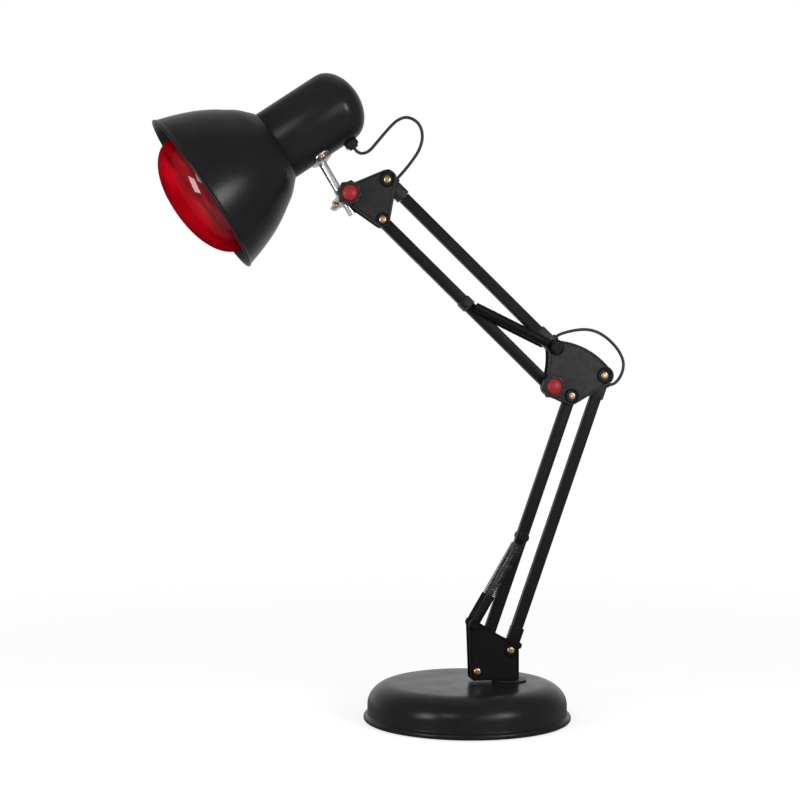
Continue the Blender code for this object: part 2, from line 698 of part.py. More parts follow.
def rear_bar(name, on, start, end):
    """A hollow bar between its two end caps, open at both ends for the flex."""
    def ring(width, depth, corner):
        x, y = width / 2 - corner, depth / 2 - corner
        return band_outline([(-x, -y, corner), (x, -y, corner), (x, y, corner), (-x, y, corner)])

    length = (end - start).length - 2 * (CAP_INBOARD + GAP)
    piece = flat_piece(name, ring(BAR_WIDTH, BAR_DEPTH, BAR_CORNER), [], length)
    bore = flat_piece(name + "_bore", ring(BAR_WIDTH - 2 * BAR_WALL, BAR_DEPTH - 2 * BAR_WALL,
                                           BAR_CORNER - BAR_WALL), [], length + OVERRUN, cutter=True)
    turn = along(end - start)
    middle = (start + end) / 2
    place(bore, on, middle, turn)
    return cut(place(finish(piece, BLACK_STEEL), on, middle, turn), bore)


def cap_point(pivot, inward, side, u, v):
    """A place on an end cap: u along its bar from the pivot, v out towards the flex's mouth."""
    return pivot + inward * u + side * v


def cap_bend(pivot, inward, side, top):
    """The flex's way through a cap: down from the mouth, round a quarter bend and along the bar."""
    centre_u = MOUTH_ALONG + FLEX_BEND
    angles = [math.pi / 2 * i / BEND_STEPS for i in range(BEND_STEPS + 1)]
    points = [cap_point(pivot, inward, side, MOUTH_ALONG, top)]
    points += [cap_point(pivot, inward, side, centre_u - FLEX_BEND * math.cos(a),
                         FLEX_BEND - FLEX_BEND * math.sin(a)) for a in angles]
    return points


def end_cap(name, on, pivot, inward, side):
    """A bar's end piece: a head with the pivot hole and the flex's mouth, and a tongue inside the tube."""
    half = CAP_WIDTH / 2
    corner, inner = CAP_CORNER, CAP_INNER_CORNER
    discs = [
        (-CAP_OUTBOARD + corner, -half + corner, corner), (CAP_INBOARD - inner, -half + inner, inner),
        (CAP_INBOARD - inner, half - inner, inner), (-CAP_OUTBOARD + corner, half - corner, corner)]
    piece = flat_piece(name, band_outline(discs), [(0, 0, HOLE_RADIUS)], CAP_DEPTH)
    turn = Matrix((inward, side, inward.cross(side))).transposed()
    place(finish(piece, BLACK_PLASTIC), on, pivot, turn)

    tongue_length = TONGUE_LENGTH + TONGUE_SEAT
    inset = 2 * (BAR_WALL + GAP)
    tongue = box(name + "_tongue", (tongue_length, BAR_WIDTH - inset, BAR_DEPTH - inset), cutter=True)
    place(tongue, on, pivot + inward * (CAP_INBOARD - TONGUE_SEAT + tongue_length / 2), turn)
    chimney = [cap_point(pivot, inward, side, MOUTH_ALONG, v) for v in (half - corner, MOUTH_HEIGHT)]
    mouth = place_world(tube(name + "_mouth", chimney, MOUTH_RADIUS, 2, cutter=True), on)
    way = cap_bend(pivot, inward, side, MOUTH_HEIGHT + OVERRUN)
    way.append(cap_point(pivot, inward, side, CAP_INBOARD + TONGUE_LENGTH + OVERRUN, 0))
    bore = place_world(tube(name + "_bore", way, BORE_RADIUS, 2, cutter=True), on)
    return cut(join(piece, tongue, mouth), bore)


def place_world(obj, on):
    """Hang a piece whose points are already in the lamp's own frame."""
    return place(obj, on, Vector())


def build_arms():
    front_bar("lower_front_bar", lower_front, PIVOT_A, PIVOT_C,
              [(PIVOT_A, HOLE_RADIUS), (PIVOT_C, HOLE_RADIUS), (ANCHOR_LOW_BAR, HOLE_RADIUS)])
    front_bar("upper_front_bar", upper_front, PIVOT_E, PIVOT_G,
              [(PIVOT_E, BOLT_HOLE_RADIUS), (PIVOT_G, HOLE_RADIUS)])
    rear_bar("lower_rear_bar", lower_rear, PIVOT_B, PIVOT_D)
    rear_bar("upper_rear_bar", upper_rear, PIVOT_F, PIVOT_H)
    for name, on, pivot, inward, side in CAPS:
        end_cap(name, on, pivot, inward, side)


def build_elbow():
    origin = PIVOT_C
    knob, front, rear, top = (flat(p, origin) for p in (PIVOT_E, PIVOT_C, PIVOT_D, PIVOT_F))
    discs = [(*knob, ELBOW_KNOB_EAR), (*front, ELBOW_FRONT_EAR), (*rear, ELBOW_REAR_EAR),
             (*top, ELBOW_TOP_EAR)]
    bulges = [0, 0, ELBOW_TOP_BULGE, -ELBOW_LEFT_HOLLOW]
    holes = [(*knob, BOLT_HOLE_RADIUS), (*front, HOLE_RADIUS), (*rear, HOLE_RADIUS), (*top, HOLE_RADIUS)]
    for side, word in ((NEAR, "near"), (FAR, "far")):
        cheek("elbow_cheek_" + word, elbow, origin, discs, bulges, holes, side, BLACK_PLASTIC)

    chord = PIVOT_D - PIVOT_F
    outward = Vector((-chord.z, 0, chord.x)).normalized()

    def on_arc(share):
        ear = ELBOW_TOP_EAR + (ELBOW_REAR_EAR - ELBOW_TOP_EAR) * share
        bow = 4 * ELBOW_TOP_BULGE * share * (1 - share)
        return PIVOT_F + chord * share + outward * (ear + bow - SPACER_RADIUS - SPACER_INSET)

    near_end, far_end = on_arc(SPACER_START_SHARE), on_arc(SPACER_END_SHARE)
    span = SPACER_END_SHARE - SPACER_START_SHARE
    bow = ELBOW_TOP_BULGE * span**2
    spacer = flat_piece("elbow_spacer", band_outline(
        [(*flat(near_end, origin), SPACER_RADIUS), (*flat(far_end, origin), SPACER_RADIUS)], [-bow, bow]),
        [], 2 * SPACER_HALF_DEPTH)
    place(finish(spacer, BLACK_PLASTIC), elbow, origin, UPRIGHT)
    pivot_screw("elbow_screw_front", elbow, PIVOT_C)
    pivot_screw("elbow_screw_rear", elbow, PIVOT_D)
    pin = headed_shank("elbow_pin", PIN_REACH, PIN_REACH, ELBOW_PIN_HEAD_RADIUS, PIN_HEAD_THICKNESS,
                       ELBOW_PIN_HEAD_RADIUS, PIN_HEAD_THICKNESS, SHANK_RADIUS, BLACK_STEEL)
    place(pin, elbow, PIVOT_F, UPRIGHT)


def build_head_bracket():
    origin = PIVOT_G
    front, rear, nose = (flat(p, origin) for p in (PIVOT_G, PIVOT_H, PIVOT_K))
    discs = [(*front, HEAD_FRONT_EAR), (*rear, HEAD_REAR_EAR), (*nose, HEAD_NOSE_EAR)]
    holes = [(*front, HOLE_RADIUS), (*rear, HOLE_RADIUS), (*nose, BOLT_HOLE_RADIUS)]
    for side, word in ((NEAR, "near"), (FAR, "far")):
        cheek("head_cheek_" + word, head_bracket, origin, discs, None, holes, side, BLACK_PLASTIC)
    pivot_screw("head_screw_front", head_bracket, PIVOT_G)
    pivot_screw("head_screw_rear", head_bracket, PIVOT_H)


def build_knob(prefix, fixed, turning, at):
    """A scalloped knob on a bolt through both cheeks, with a red cap on its face."""
    foot = CHEEK_OUTER + GAP
    bolt = turned(prefix + "_bolt", [
        (0, foot + KNOB_BOLT_REACH), (BOLT_RADIUS, foot + KNOB_BOLT_REACH), (BOLT_RADIUS, -foot),
        (HEAD_RADIUS, -foot), (HEAD_RADIUS, -foot - NUT_THICKNESS), (0, -foot - NUT_THICKNESS)],
        SMALL_STEPS)
    place(finish(bolt, STEEL), fixed, at, UPRIGHT)

    outline = []
    for i in range(KNOB_POINTS):
        angle = math.tau * i / KNOB_POINTS
        radius = KNOB_RADIUS + KNOB_LOBE * math.cos(KNOB_LOBES * angle)
        outline.append((radius * math.cos(angle), radius * math.sin(angle)))
    knob = flat_piece(prefix + "_knob", outline, [(0, 0, BOLT_HOLE_RADIUS)], KNOB_THICKNESS)
    face = foot + KNOB_THICKNESS
    place(finish(knob, BLACK_PLASTIC), turning, at - Vector((0, (foot + face) / 2, 0)), UPRIGHT)

    seat = face + GAP
    stub = face - (KNOB_THICKNESS - KNOB_BOLT_REACH) + GAP
    cap = turned(prefix + "_knob_cap", [(KNOB_CAP_RADIUS * r, seat + KNOB_CAP_RISE * h)
                                        for r, h in KNOB_CAP_SHARES]
                 + [(BOLT_RADIUS, seat), (BOLT_RADIUS, stub), (0, stub)], HOLE_STEPS * 2)
    place(finish(cap, RED_PLASTIC), turning, at, UPRIGHT)


def hook(pin, forward, across, y):
    """The bent end of a spring: an open ring round its pin that leaves it along the spring's axis."""
    radius = SHANK_RADIUS + GAP + WIRE_RADIUS
    angles = [math.pi / 2 + HOOK_SWEEP * (1 - i / HOOK_POINTS) for i in range(HOOK_POINTS + 1)]
    return [pin + forward * radius * math.cos(a) + across * radius * math.sin(a) + Vector((0, y, 0))
            for a in angles]


def coil_point(top, forward, across, side, run, phase):
    return (top + forward * run + across * COIL_RADIUS * math.cos(phase)
            + Vector((0, side * (SPRING_OFFSET - COIL_RADIUS * math.sin(phase)), 0)))


def coil_route(top, forward, across, side):
    """The lower spring's wire: hook, close curls, then a straight end through the sleeve to a hook."""
    start = math.asin((SPRING_OFFSET - HOOK_OFFSET) / COIL_RADIUS)
    points = hook(top, forward, across, side * HOOK_OFFSET)
    for i in range(COIL_CURLS * CURL_POINTS + 1):
        turn = i / CURL_POINTS
        points.append(coil_point(top, forward, across, side, COIL_START + COIL_PITCH * turn,
                                 start + math.tau * turn))
    far_hook = hook(ANCHOR_LOW, -forward, across, side * HOOK_OFFSET)[::-1]
    straight = coil_point(top, forward, across, side,
                          COIL_START + COIL_PITCH * COIL_CURLS + COIL_LEAD, start)
    return points + [straight] + far_hook


def least_gap(points, radius, apart):
    """The least clear distance of a wire to itself, between stretches more than `apart` along it."""
    runs = [0]
    for a, b in zip(points, points[1:]):
        runs.append(runs[-1] + (b - a).length)
    least = math.inf
    for i, a in enumerate(points):
        for j in range(i + 1, len(points)):
            if runs[j] - runs[i] > apart:
                least = min(least, (points[j] - a).length)
    return least - 2 * radius


def build_springs():
    forward = (ANCHOR_LOW - ANCHOR_LOW_BAR).normalized()
    across = Vector((-forward.z, 0, forward.x))
    length = (ANCHOR_LOW - ANCHOR_LOW_BAR).length
    sleeve_start = COIL_START + COIL_PITCH * COIL_CURLS + SLEEVE_COIL_GAP
    sleeve_end = length - max(BASE_EAR_RADIUS, SPRING_PIN_HEAD_RADIUS) - SLEEVE_END_GAP
    curl = math.tau * COIL_RADIUS
    for side, word in ((NEAR, "near"), (FAR, "far")):
        points = coil_route(ANCHOR_LOW_BAR, forward, across, side)
        print("lower_spring_" + word, "least gap to itself",
              round(least_gap(points, WIRE_RADIUS, curl / 2) * 1000, 2), "mm,",
              "length between hooks", round(length * 1000, 1), "mm")
        wire = tube("lower_spring_" + word, points, WIRE_RADIUS)
        place_world(finish(wire, STEEL), lower_front)
        sleeve = turned("lower_sleeve_" + word, [
            (SLEEVE_BORE, sleeve_end), (SLEEVE_RADIUS, sleeve_end), (SLEEVE_RADIUS, sleeve_start),
            (SLEEVE_BORE, sleeve_start)], SLEEVE_STEPS, closed=True)
        place(finish(sleeve, BLACK_PLASTIC), lower_front,
              ANCHOR_LOW_BAR + Vector((0, side * SPRING_OFFSET, 0)), along(forward))

    pin = headed_shank("lower_spring_pin", PIN_REACH, PIN_REACH, SPRING_PIN_HEAD_RADIUS,
                       PIN_HEAD_THICKNESS, SPRING_PIN_HEAD_RADIUS, PIN_HEAD_THICKNESS, SHANK_RADIUS,
                       BLACK_STEEL)
    place(pin, lower_front, ANCHOR_LOW_BAR, UPRIGHT)
    build_collar()

    forward = (PIVOT_F - ANCHOR_HIGH_BAR).normalized()
    across = Vector((-forward.z, 0, forward.x))
    length = (PIVOT_F - ANCHOR_HIGH_BAR).length
    low, high = UPPER_SLEEVE_FRONT, length - UPPER_SLEEVE_REAR
    for side, word in ((NEAR, "near"), (FAR, "far")):
        name = "upper_spring_" + word
        sleeve = turned(name, [(0, high), (SLEEVE_RADIUS, high), (SLEEVE_RADIUS, low), (0, low)],
                        SLEEVE_STEPS)
        place(finish(sleeve, BLACK_PLASTIC), upper_front,
              ANCHOR_HIGH_BAR + Vector((0, side * SPRING_OFFSET, 0)), along(forward))
        start = hook(ANCHOR_HIGH_BAR, forward, across, side * HOOK_OFFSET)
        end = hook(PIVOT_F, -forward, across, side * HOOK_OFFSET)[::-1]
        wire = tube(name + "_wire", start + end, WIRE_RADIUS, cutter=True)
        join(sleeve, place_world(wire, upper_front))


def build_collar():
    """A plastic collar round the upper front bar, with a pin on each side for the springs' hooks."""
    room = 2 * GAP
    wide, deep = BAR_WIDTH + room, BAR_DEPTH + room
    outer = deep / 2 + COLLAR_WALL
    collar = box("upper_spring_pin", (wide + 2 * COLLAR_WALL, 2 * outer, COLLAR_LENGTH))
    turn = along(UPPER_BAR_DIR)
    place(finish(collar, BLACK_PLASTIC), upper_front, ANCHOR_HIGH_BAR, turn)
    bore = box("collar_bore", (wide, deep, COLLAR_LENGTH + OVERRUN), cutter=True)
    cut(collar, place(bore, upper_front, ANCHOR_HIGH_BAR, turn))
    for side, word in ((NEAR, "near"), (FAR, "far")):
        foot = outer - COLLAR_WALL / 2
        join(collar, stub_pin("collar_pin_" + word, upper_front, ANCHOR_HIGH_BAR, side, foot,
                              SHANK_RADIUS, COLLAR_HEAD_RADIUS))


def build_clamp():
    origin = PIVOT_K
    discs = [(*flat(CLAMP_SCREW_AT, origin), CLAMP_SCREW_EAR), (0, 0, CLAMP_BOLT_EAR)]
    holes = [(*flat(CLAMP_SCREW_AT, origin), BOLT_HOLE_RADIUS), (0, 0, BOLT_HOLE_RADIUS)]
    centre = (CLAMP_INNER + CLAMP_OUTER) / 2
    for side, word in ((NEAR, "near"), (FAR, "far")):
        plate = flat_piece("clamp_plate_" + word, band_outline(discs), holes, CLAMP_OUTER - CLAMP_INNER)
        place(finish(plate, CHROME), tilt_clamp, origin + Vector((0, side * centre, 0)), UPRIGHT)
        cut(plate, drill("rod_groove_" + word, tilt_clamp, ROD_FOOT, ROD_RADIUS + GAP,
                         2 * ROD_REACH, along(ROD_UP)))
    reach = CLAMP_OUTER + GAP
    screw = headed_shank("clamp_screw", reach, reach, CLAMP_SCREW_HEAD, CLAMP_SCREW_HEAD_THICKNESS,
                         CLAMP_SCREW_HEAD, CLAMP_SCREW_HEAD_THICKNESS, BOLT_RADIUS, BRASS)
    place(screw, tilt_clamp, CLAMP_SCREW_AT, UPRIGHT)


def on_housing(station, radius, angle):
    """A place at a station of the lamp's axis, at an angle round it from straight below."""
    return (MOUTH + HEAD_AXIS * station + HEAD_DOWN * radius * math.cos(angle)
            + Vector((0, -radius * math.sin(angle), 0)))


def outward_turn(angle):
    """A turn that takes Z out of the housing at an angle round it from straight below."""
    outward = HEAD_DOWN * math.cos(angle) + Vector((0, -math.sin(angle), 0))
    return Matrix((HEAD_AXIS.cross(outward), HEAD_AXIS, outward)).transposed()


def build_head():
    top = ROD_REACH - GAP
    rod = turned("tilt_rod", [(0, top), (ROD_RADIUS, top), (ROD_RADIUS, -ROD_TAIL), (0, -ROD_TAIL)],
                 HOLE_STEPS)
    place(finish(rod, CHROME), lamp_head, ROD_FOOT, along(ROD_UP))

    turn = along(HEAD_AXIS)
    spread = SHADE_MOUTH_RADIUS - SHADE_NECK_RADIUS
    profile = [(SHADE_NECK_OPENING, SHADE_DEPTH)]
    profile += [(SHADE_NECK_RADIUS + spread * r, SHADE_DEPTH * s) for s, r in SHADE_PROFILE_SHARES]
    shade = turned("shade", profile, ROUND_STEPS)
    thicken(shade, SHADE_WALL)
    place(finish(shade, BLACK_PAINT), lamp_head, MOUTH, turn)

    dome_foot = HOUSING_START + HOUSING_STRAIGHT
    angles = [math.pi / 2 * i / DOME_POINTS for i in range(DOME_POINTS + 1)]
    profile = [(HOUSING_RADIUS * math.sin(a), dome_foot + DOME_LENGTH * math.cos(a)) for a in angles]
    profile.append((HOUSING_RADIUS, HOUSING_START))
    housing = turned("housing", profile, BULB_STEPS)
    thicken(housing, SHADE_WALL)
    place(finish(housing, BLACK_PAINT), lamp_head, MOUTH, turn)
    cut(housing, drill("gland_hole", lamp_head, on_housing(GLAND_OFFSET, HOUSING_RADIUS, 0),
                       GLAND_TAIL_RADIUS + GAP, 2 * OVERRUN, outward_turn(0)))

    build_saddle(housing)
    build_gland()
    build_bulb(turn)


def thicken(obj, thickness):
    wall = obj.modifiers.new("Wall", "SOLIDIFY")
    wall.thickness = thickness
    wall.offset = -1
    wall.use_even_offset = True
    return obj


def build_saddle(housing):
    """A chromed strap curved round the housing's underside, held by a domed screw on each side."""
    sweep = [SADDLE_HALF_ANGLE * (2 * i / (SADDLE_POINTS - 1) - 1) for i in range(SADDLE_POINTS)]
    outline = [(SADDLE_OUTER * math.sin(a), -SADDLE_OUTER * math.cos(a)) for a in sweep]
    outline += [(SADDLE_INNER * math.sin(a), -SADDLE_INNER * math.cos(a)) for a in reversed(sweep)]
    saddle = flat_piece("shade_saddle", outline, [], SADDLE_LENGTH)
    frame = Matrix((Vector((0, 1, 0)), -HEAD_DOWN, HEAD_AXIS)).transposed()
    place(finish(saddle, CHROME), lamp_head, MOUTH + HEAD_AXIS * SADDLE_OFFSET, frame)
    for side, word in ((NEAR, "near"), (FAR, "far")):
        angle = -side * SADDLE_SCREW_ANGLE
        at = on_housing(SADDLE_OFFSET, SADDLE_OUTER, angle)
        turn = outward_turn(angle)
        hole = drill("saddle_hole_" + word, lamp_head, at, SADDLE_SCREW_RADIUS + GAP,
                     2 * SADDLE_SCREW_LENGTH, turn)
        cut(saddle, hole)
        cut(housing, hole)
        screw = turned("saddle_screw_" + word, [
            (0, GAP + SADDLE_SCREW_DOME),
            (SADDLE_SCREW_HEAD * HEAD_FLAT_SHARE, GAP + SADDLE_SCREW_DOME * (1 - HEAD_EDGE_SHARE / 2)),
            (SADDLE_SCREW_HEAD, GAP), (SADDLE_SCREW_RADIUS, GAP),
            (SADDLE_SCREW_RADIUS, -SADDLE_SCREW_LENGTH), (0, -SADDLE_SCREW_LENGTH)], SMALL_STEPS)
        place(finish(screw, BRASS), lamp_head, at, turn)


def build_gland():
    flange_foot = GAP
    flange_top = flange_foot + GLAND_FLANGE_THICKNESS
    nose_top = flange_top + GLAND_NOSE_LENGTH
    tail = -GLAND_TAIL_LENGTH
    gland = turned("cord_gland", [
        (BORE_RADIUS, nose_top), (GLAND_NOSE_RADIUS * HEAD_FLAT_SHARE, nose_top),
        (GLAND_NOSE_RADIUS, flange_top), (GLAND_FLANGE_RADIUS, flange_top),
        (GLAND_FLANGE_RADIUS, flange_foot), (GLAND_TAIL_RADIUS, flange_foot), (GLAND_TAIL_RADIUS, tail),
        (BORE_RADIUS, tail)], HOLE_STEPS, closed=True)
    place(finish(gland, BLACK_PLASTIC), lamp_head, on_housing(GLAND_OFFSET, HOUSING_RADIUS, 0),
          outward_turn(0))


def build_bulb(turn):
    """The blown envelope, open at its neck, its thin screw cap and the lampholder round the cap."""
    profile = [(BULB_RADIUS * r, BULB_NECK_END * s) for r, s in BULB_BACK_SHARES]
    profile += [(BULB_RADIUS * r, BULB_FRONT * s) for r, s in BULB_FRONT_SHARES]
    bulb = turned("bulb", profile, BULB_STEPS)
    thicken(bulb, BULB_WALL)
    place(finish(bulb, RED_GLASS), lamp_head, MOUTH, turn)

    start = BULB_NECK_END + GAP
    end = start + BULB_CAP_LENGTH
    cap = turned("bulb_cap", [
        (0, end), (BULB_CAP_BUTTON, end), (BULB_CAP_RADIUS, end - BULB_CAP_TIP), (BULB_CAP_RADIUS, start)],
        HOLE_STEPS * 2)
    thicken(cap, BULB_CAP_WALL)
    place(finish(cap, BRASS), lamp_head, MOUTH, turn)

    bore = BULB_CAP_RADIUS + SOCKET_BORE_CLEARANCE
    floor = end + GAP
    back = start + SOCKET_LENGTH
    dome_inside = HOUSING_END - SHADE_WALL - GAP
    socket = turned("socket", [
        (0, dome_inside), (SOCKET_STEM_RADIUS, dome_inside - SOCKET_STEM_TAPER),
        (SOCKET_STEM_RADIUS, back), (SOCKET_RADIUS, back), (SOCKET_RADIUS, start), (bore, start),
        (bore, floor), (0, floor)], HOLE_STEPS * 2)
    place(finish(socket, PORCELAIN), lamp_head, MOUTH, turn)


def plane_points(pairs):
    return [Vector((x, 0, z)) for x, z in pairs]


def build_flex():
    """The mains flex in four stretches: two free loops, and two runs inside the rear bars."""
    inward_end = MOUTH_ALONG + FLEX_BEND + FLEX_STRAIGHT
    (_, _, at_b, in_b, side_b), (_, _, at_d, in_d, side_d), (_, _, at_f, in_f, side_f), \
        (_, _, at_h, in_h, side_h) = CAPS
    gland_out = HOUSING_RADIUS + GAP + GLAND_FLANGE_THICKNESS + GLAND_NOSE_LENGTH
    down = [on_housing(GLAND_OFFSET, r, 0) for r in (
        SOCKET_RADIUS + 2 * GAP, (SOCKET_RADIUS + gland_out) / 2, gland_out)]

    def through(pivot, inward, side):
        way = cap_bend(pivot, inward, side, MOUTH_HEIGHT)
        return way + [cap_point(pivot, inward, side, inward_end, 0)]

    head = smooth_route(down + plane_points(HEAD_LOOP) + through(at_h, in_h, side_h))
    loop = smooth_route(through(at_f, in_f, side_f)[::-1] + plane_points(ELBOW_LOOP)
                        + through(at_d, in_d, side_d))
    upper = [at_h + in_h * (inward_end + GAP), at_f + in_f * (inward_end + GAP)]
    lower = smooth_route([at_d + in_d * (inward_end + GAP)]
                         + [at_b + in_b * (inward_end + GAP)]
                         + cap_bend(at_b, in_b, side_b, MOUTH_HEIGHT - GROMMET_TAIL)[::-1])
    for name, points, on in (("head_flex", head, upper_rear), ("upper_flex", upper, upper_rear),
                             ("elbow_flex", loop, elbow), ("lower_flex", lower, lower_rear)):
        length = sum((b - a).length for a, b in zip(points, points[1:]))
        print(name, "length", round(length * 1000, 1), "mm,", len(points), "points")
        place_world(finish(tube(name, points, FLEX_RADIUS, 2), BLACK_FLEX), on)

    grommet = turned("cord_grommet", [
        (0, GROMMET_RISE + GROMMET_DOME), (MOUTH_RADIUS * HEAD_FLAT_SHARE, GROMMET_RISE + GROMMET_DOME / 2),
        (MOUTH_RADIUS, GROMMET_RISE), (MOUTH_RADIUS, GAP), (FLEX_RADIUS, GAP),
        (FLEX_RADIUS, GAP - GROMMET_TAIL), (0, GAP - GROMMET_TAIL)], SMALL_STEPS)
    place(finish(grommet, RUBBER), lower_rear, cap_point(at_b, in_b, side_b, MOUTH_ALONG, MOUTH_HEIGHT),
          along(side_b))


build_base()
build_base_bracket()
build_arms()
build_elbow()
build_head_bracket()
build_knob("elbow", elbow, elbow_knob_body, PIVOT_E)
build_knob("head", head_bracket, head_knob_body, PIVOT_K)
build_springs()
build_clamp()
build_head()
build_flex()
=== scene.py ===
"""The looks of an infrared heat therapy lamp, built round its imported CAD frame. Units are metres."""
import json
from math import acos, asin, atan2, cos, hypot, pi, radians, sin, tan, tau

import bmesh
import bpy
from mathutils import Matrix, Vector

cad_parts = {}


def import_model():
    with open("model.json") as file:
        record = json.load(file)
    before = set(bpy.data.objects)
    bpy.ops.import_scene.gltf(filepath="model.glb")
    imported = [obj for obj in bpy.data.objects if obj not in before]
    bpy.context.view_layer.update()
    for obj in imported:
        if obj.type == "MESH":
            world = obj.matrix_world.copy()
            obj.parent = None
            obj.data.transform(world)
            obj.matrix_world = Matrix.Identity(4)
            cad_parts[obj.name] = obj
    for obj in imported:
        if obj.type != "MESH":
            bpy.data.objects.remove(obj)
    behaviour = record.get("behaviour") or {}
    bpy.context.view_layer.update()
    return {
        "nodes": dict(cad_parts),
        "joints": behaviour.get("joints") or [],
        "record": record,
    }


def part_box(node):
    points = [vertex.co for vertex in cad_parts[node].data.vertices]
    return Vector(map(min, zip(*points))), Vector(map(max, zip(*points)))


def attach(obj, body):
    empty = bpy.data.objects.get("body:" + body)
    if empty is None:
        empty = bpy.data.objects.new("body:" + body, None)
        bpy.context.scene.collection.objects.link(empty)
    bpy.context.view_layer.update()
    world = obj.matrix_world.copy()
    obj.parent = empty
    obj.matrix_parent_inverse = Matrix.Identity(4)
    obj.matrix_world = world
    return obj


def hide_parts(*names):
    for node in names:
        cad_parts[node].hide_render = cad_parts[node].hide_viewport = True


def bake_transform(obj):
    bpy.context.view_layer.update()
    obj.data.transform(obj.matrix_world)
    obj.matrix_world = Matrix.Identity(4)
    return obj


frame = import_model()

RECORD = frame["record"]
BODY_OF = {node: body for body, nodes in RECORD["behaviour"]["bodies"].items() for node in nodes}
SLOT_OF = {row["node"]: row["material_slot"] for row in RECORD["subparts"]}
PIVOT = {joint["name"]: Vector(joint["pos_m"]) for joint in frame["joints"]}


def middle(node):
    low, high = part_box(node)
    return (low + high) / 2


def in_plane(point):
    return Vector((point.x, 0, point.z))


def new_object(name, data, matrix=Matrix.Identity(4)):
    obj = bpy.data.objects.new(name, data)
    bpy.context.scene.collection.objects.link(obj)
    obj.matrix_world = matrix
    return obj


# Places that pieces are set from: A to K are pivots, and MOUTH is the middle of the shade's mouth
A = PIVOT["lower_front_arm"]
B = PIVOT["lower_arm"]
C = in_plane(middle("elbow_screw_front"))
D = PIVOT["elbow_level"]
E = PIVOT["upper_front_arm"]
F = PIVOT["upper_arm"]
G = in_plane(middle("head_screw_front"))
H = PIVOT["head_level"]
K = PIVOT["head_tilt"]
SWIVEL = PIVOT["base_swivel"]
ROD_FOOT = PIVOT["rod_twist"]
CLAMP_SCREW = in_plane(middle("clamp_screw"))
LOWER_PIN = in_plane(middle("lower_spring_pin"))
UPPER_PIN = in_plane(middle("upper_spring_pin"))
LOWER_ANCHOR = Vector((0.0054, 0, 0.0959))
LOWER_DIR = (D - B).normalized()
UPPER_DIR = (H - F).normalized()
LOWER_SIDE = Vector((LOWER_DIR.z, 0, -LOWER_DIR.x))
UPPER_SIDE = Vector((UPPER_DIR.z, 0, -UPPER_DIR.x))
ROD_LEAN = radians(31)
ROD_UP = Vector((-sin(ROD_LEAN), 0, cos(ROD_LEAN)))
HEAD_PITCH = radians(34.2)
HEAD_AXIS = Vector((cos(HEAD_PITCH), 0, sin(HEAD_PITCH)))
HEAD_DOWN = Vector((sin(HEAD_PITCH), 0, -cos(HEAD_PITCH)))
MOUTH = Vector((-0.26389, 0, 0.51955))

# Camera: level, a little to the left of straight on, with no shift
CAMERA_AT = Vector((-0.2899, -1.5241, 0.3192))
CAMERA_TURN = radians(-8.3)
CAMERA_LENS = 69.75
camera_data = bpy.data.cameras.new("camera")
camera_data.lens = CAMERA_LENS
camera_data.sensor_width = 36
camera_turn = Matrix.Rotation(CAMERA_TURN, 4, "Z") @ Matrix.Rotation(pi / 2, 4, "X")
bpy.context.scene.camera = new_object("camera", camera_data, Matrix.Translation(CAMERA_AT) @ camera_turn)


# Materials
WHITE = (1, 1, 1, 1)


def feed(tree, socket, value):
    """Joins a socket to another, or gives it a plain value."""
    if isinstance(value, bpy.types.NodeSocket):
        tree.links.new(value, socket)
    else:
        socket.default_value = value


def add_node(tree, kind, inputs=(), **settings):
    """A new node with its settings made and its inputs fed."""
    node = tree.nodes.new("ShaderNode" + kind)
    for key, value in settings.items():
        setattr(node, key, value)
    for key, value in inputs:
        feed(tree, node.inputs[key], value)
    return node


class Nodes:
    """A material's node tree, with short ways to add and join nodes."""

    def __init__(self, name):
        self.material = bpy.data.materials.new(name)
        self.material.use_nodes = True
        self.tree = self.material.node_tree
        self.shader = self.tree.nodes["Principled BSDF"]
        self.coords = self.add("TexCoord").outputs["Object"]

    def add(self, kind, inputs=(), **settings):
        return add_node(self.tree, kind, inputs, **settings)

    def noise(self, size, detail=2.0, rough=0.5, source=None):
        """Soft noise whose features are about `size` metres across."""
        return self.add("TexNoise", [
            ("Vector", source or self.coords), ("Scale", 1 / size), ("Detail", detail),
            ("Roughness", rough)]).outputs[0]

    def between(self, source, low, high, start=0.3, end=0.7):
        return self.add("MapRange", [
            (0, source), (1, start), (2, end), (3, low), (4, high)]).outputs[0]

    def mix(self, factor, a, b):
        return self.add("Mix", [(0, factor), (6, a), (7, b)], data_type="RGBA").outputs[2]

    def facing(self, blend=0.5):
        return self.add("LayerWeight", [("Blend", blend)]).outputs["Facing"]

    def fade_to_edge(self, centre, edge, start, end):
        """A value that goes from `centre` to `edge` as the surface turns away."""
        return self.between(self.facing(), centre, edge, start, end)

    def bump(self, height, distance, strength=1.0):
        return self.add("Bump", [
            ("Height", height), ("Distance", distance), ("Strength", strength)]).outputs[0]

    def set(self, **sockets):
        for key, value in sockets.items():
            feed(self.tree, self.shader.inputs[key.replace("_", " ")], value)
        return self.material


def rgba(colour, share=1.0):
    return (*[c * share for c in colour], 1.0)


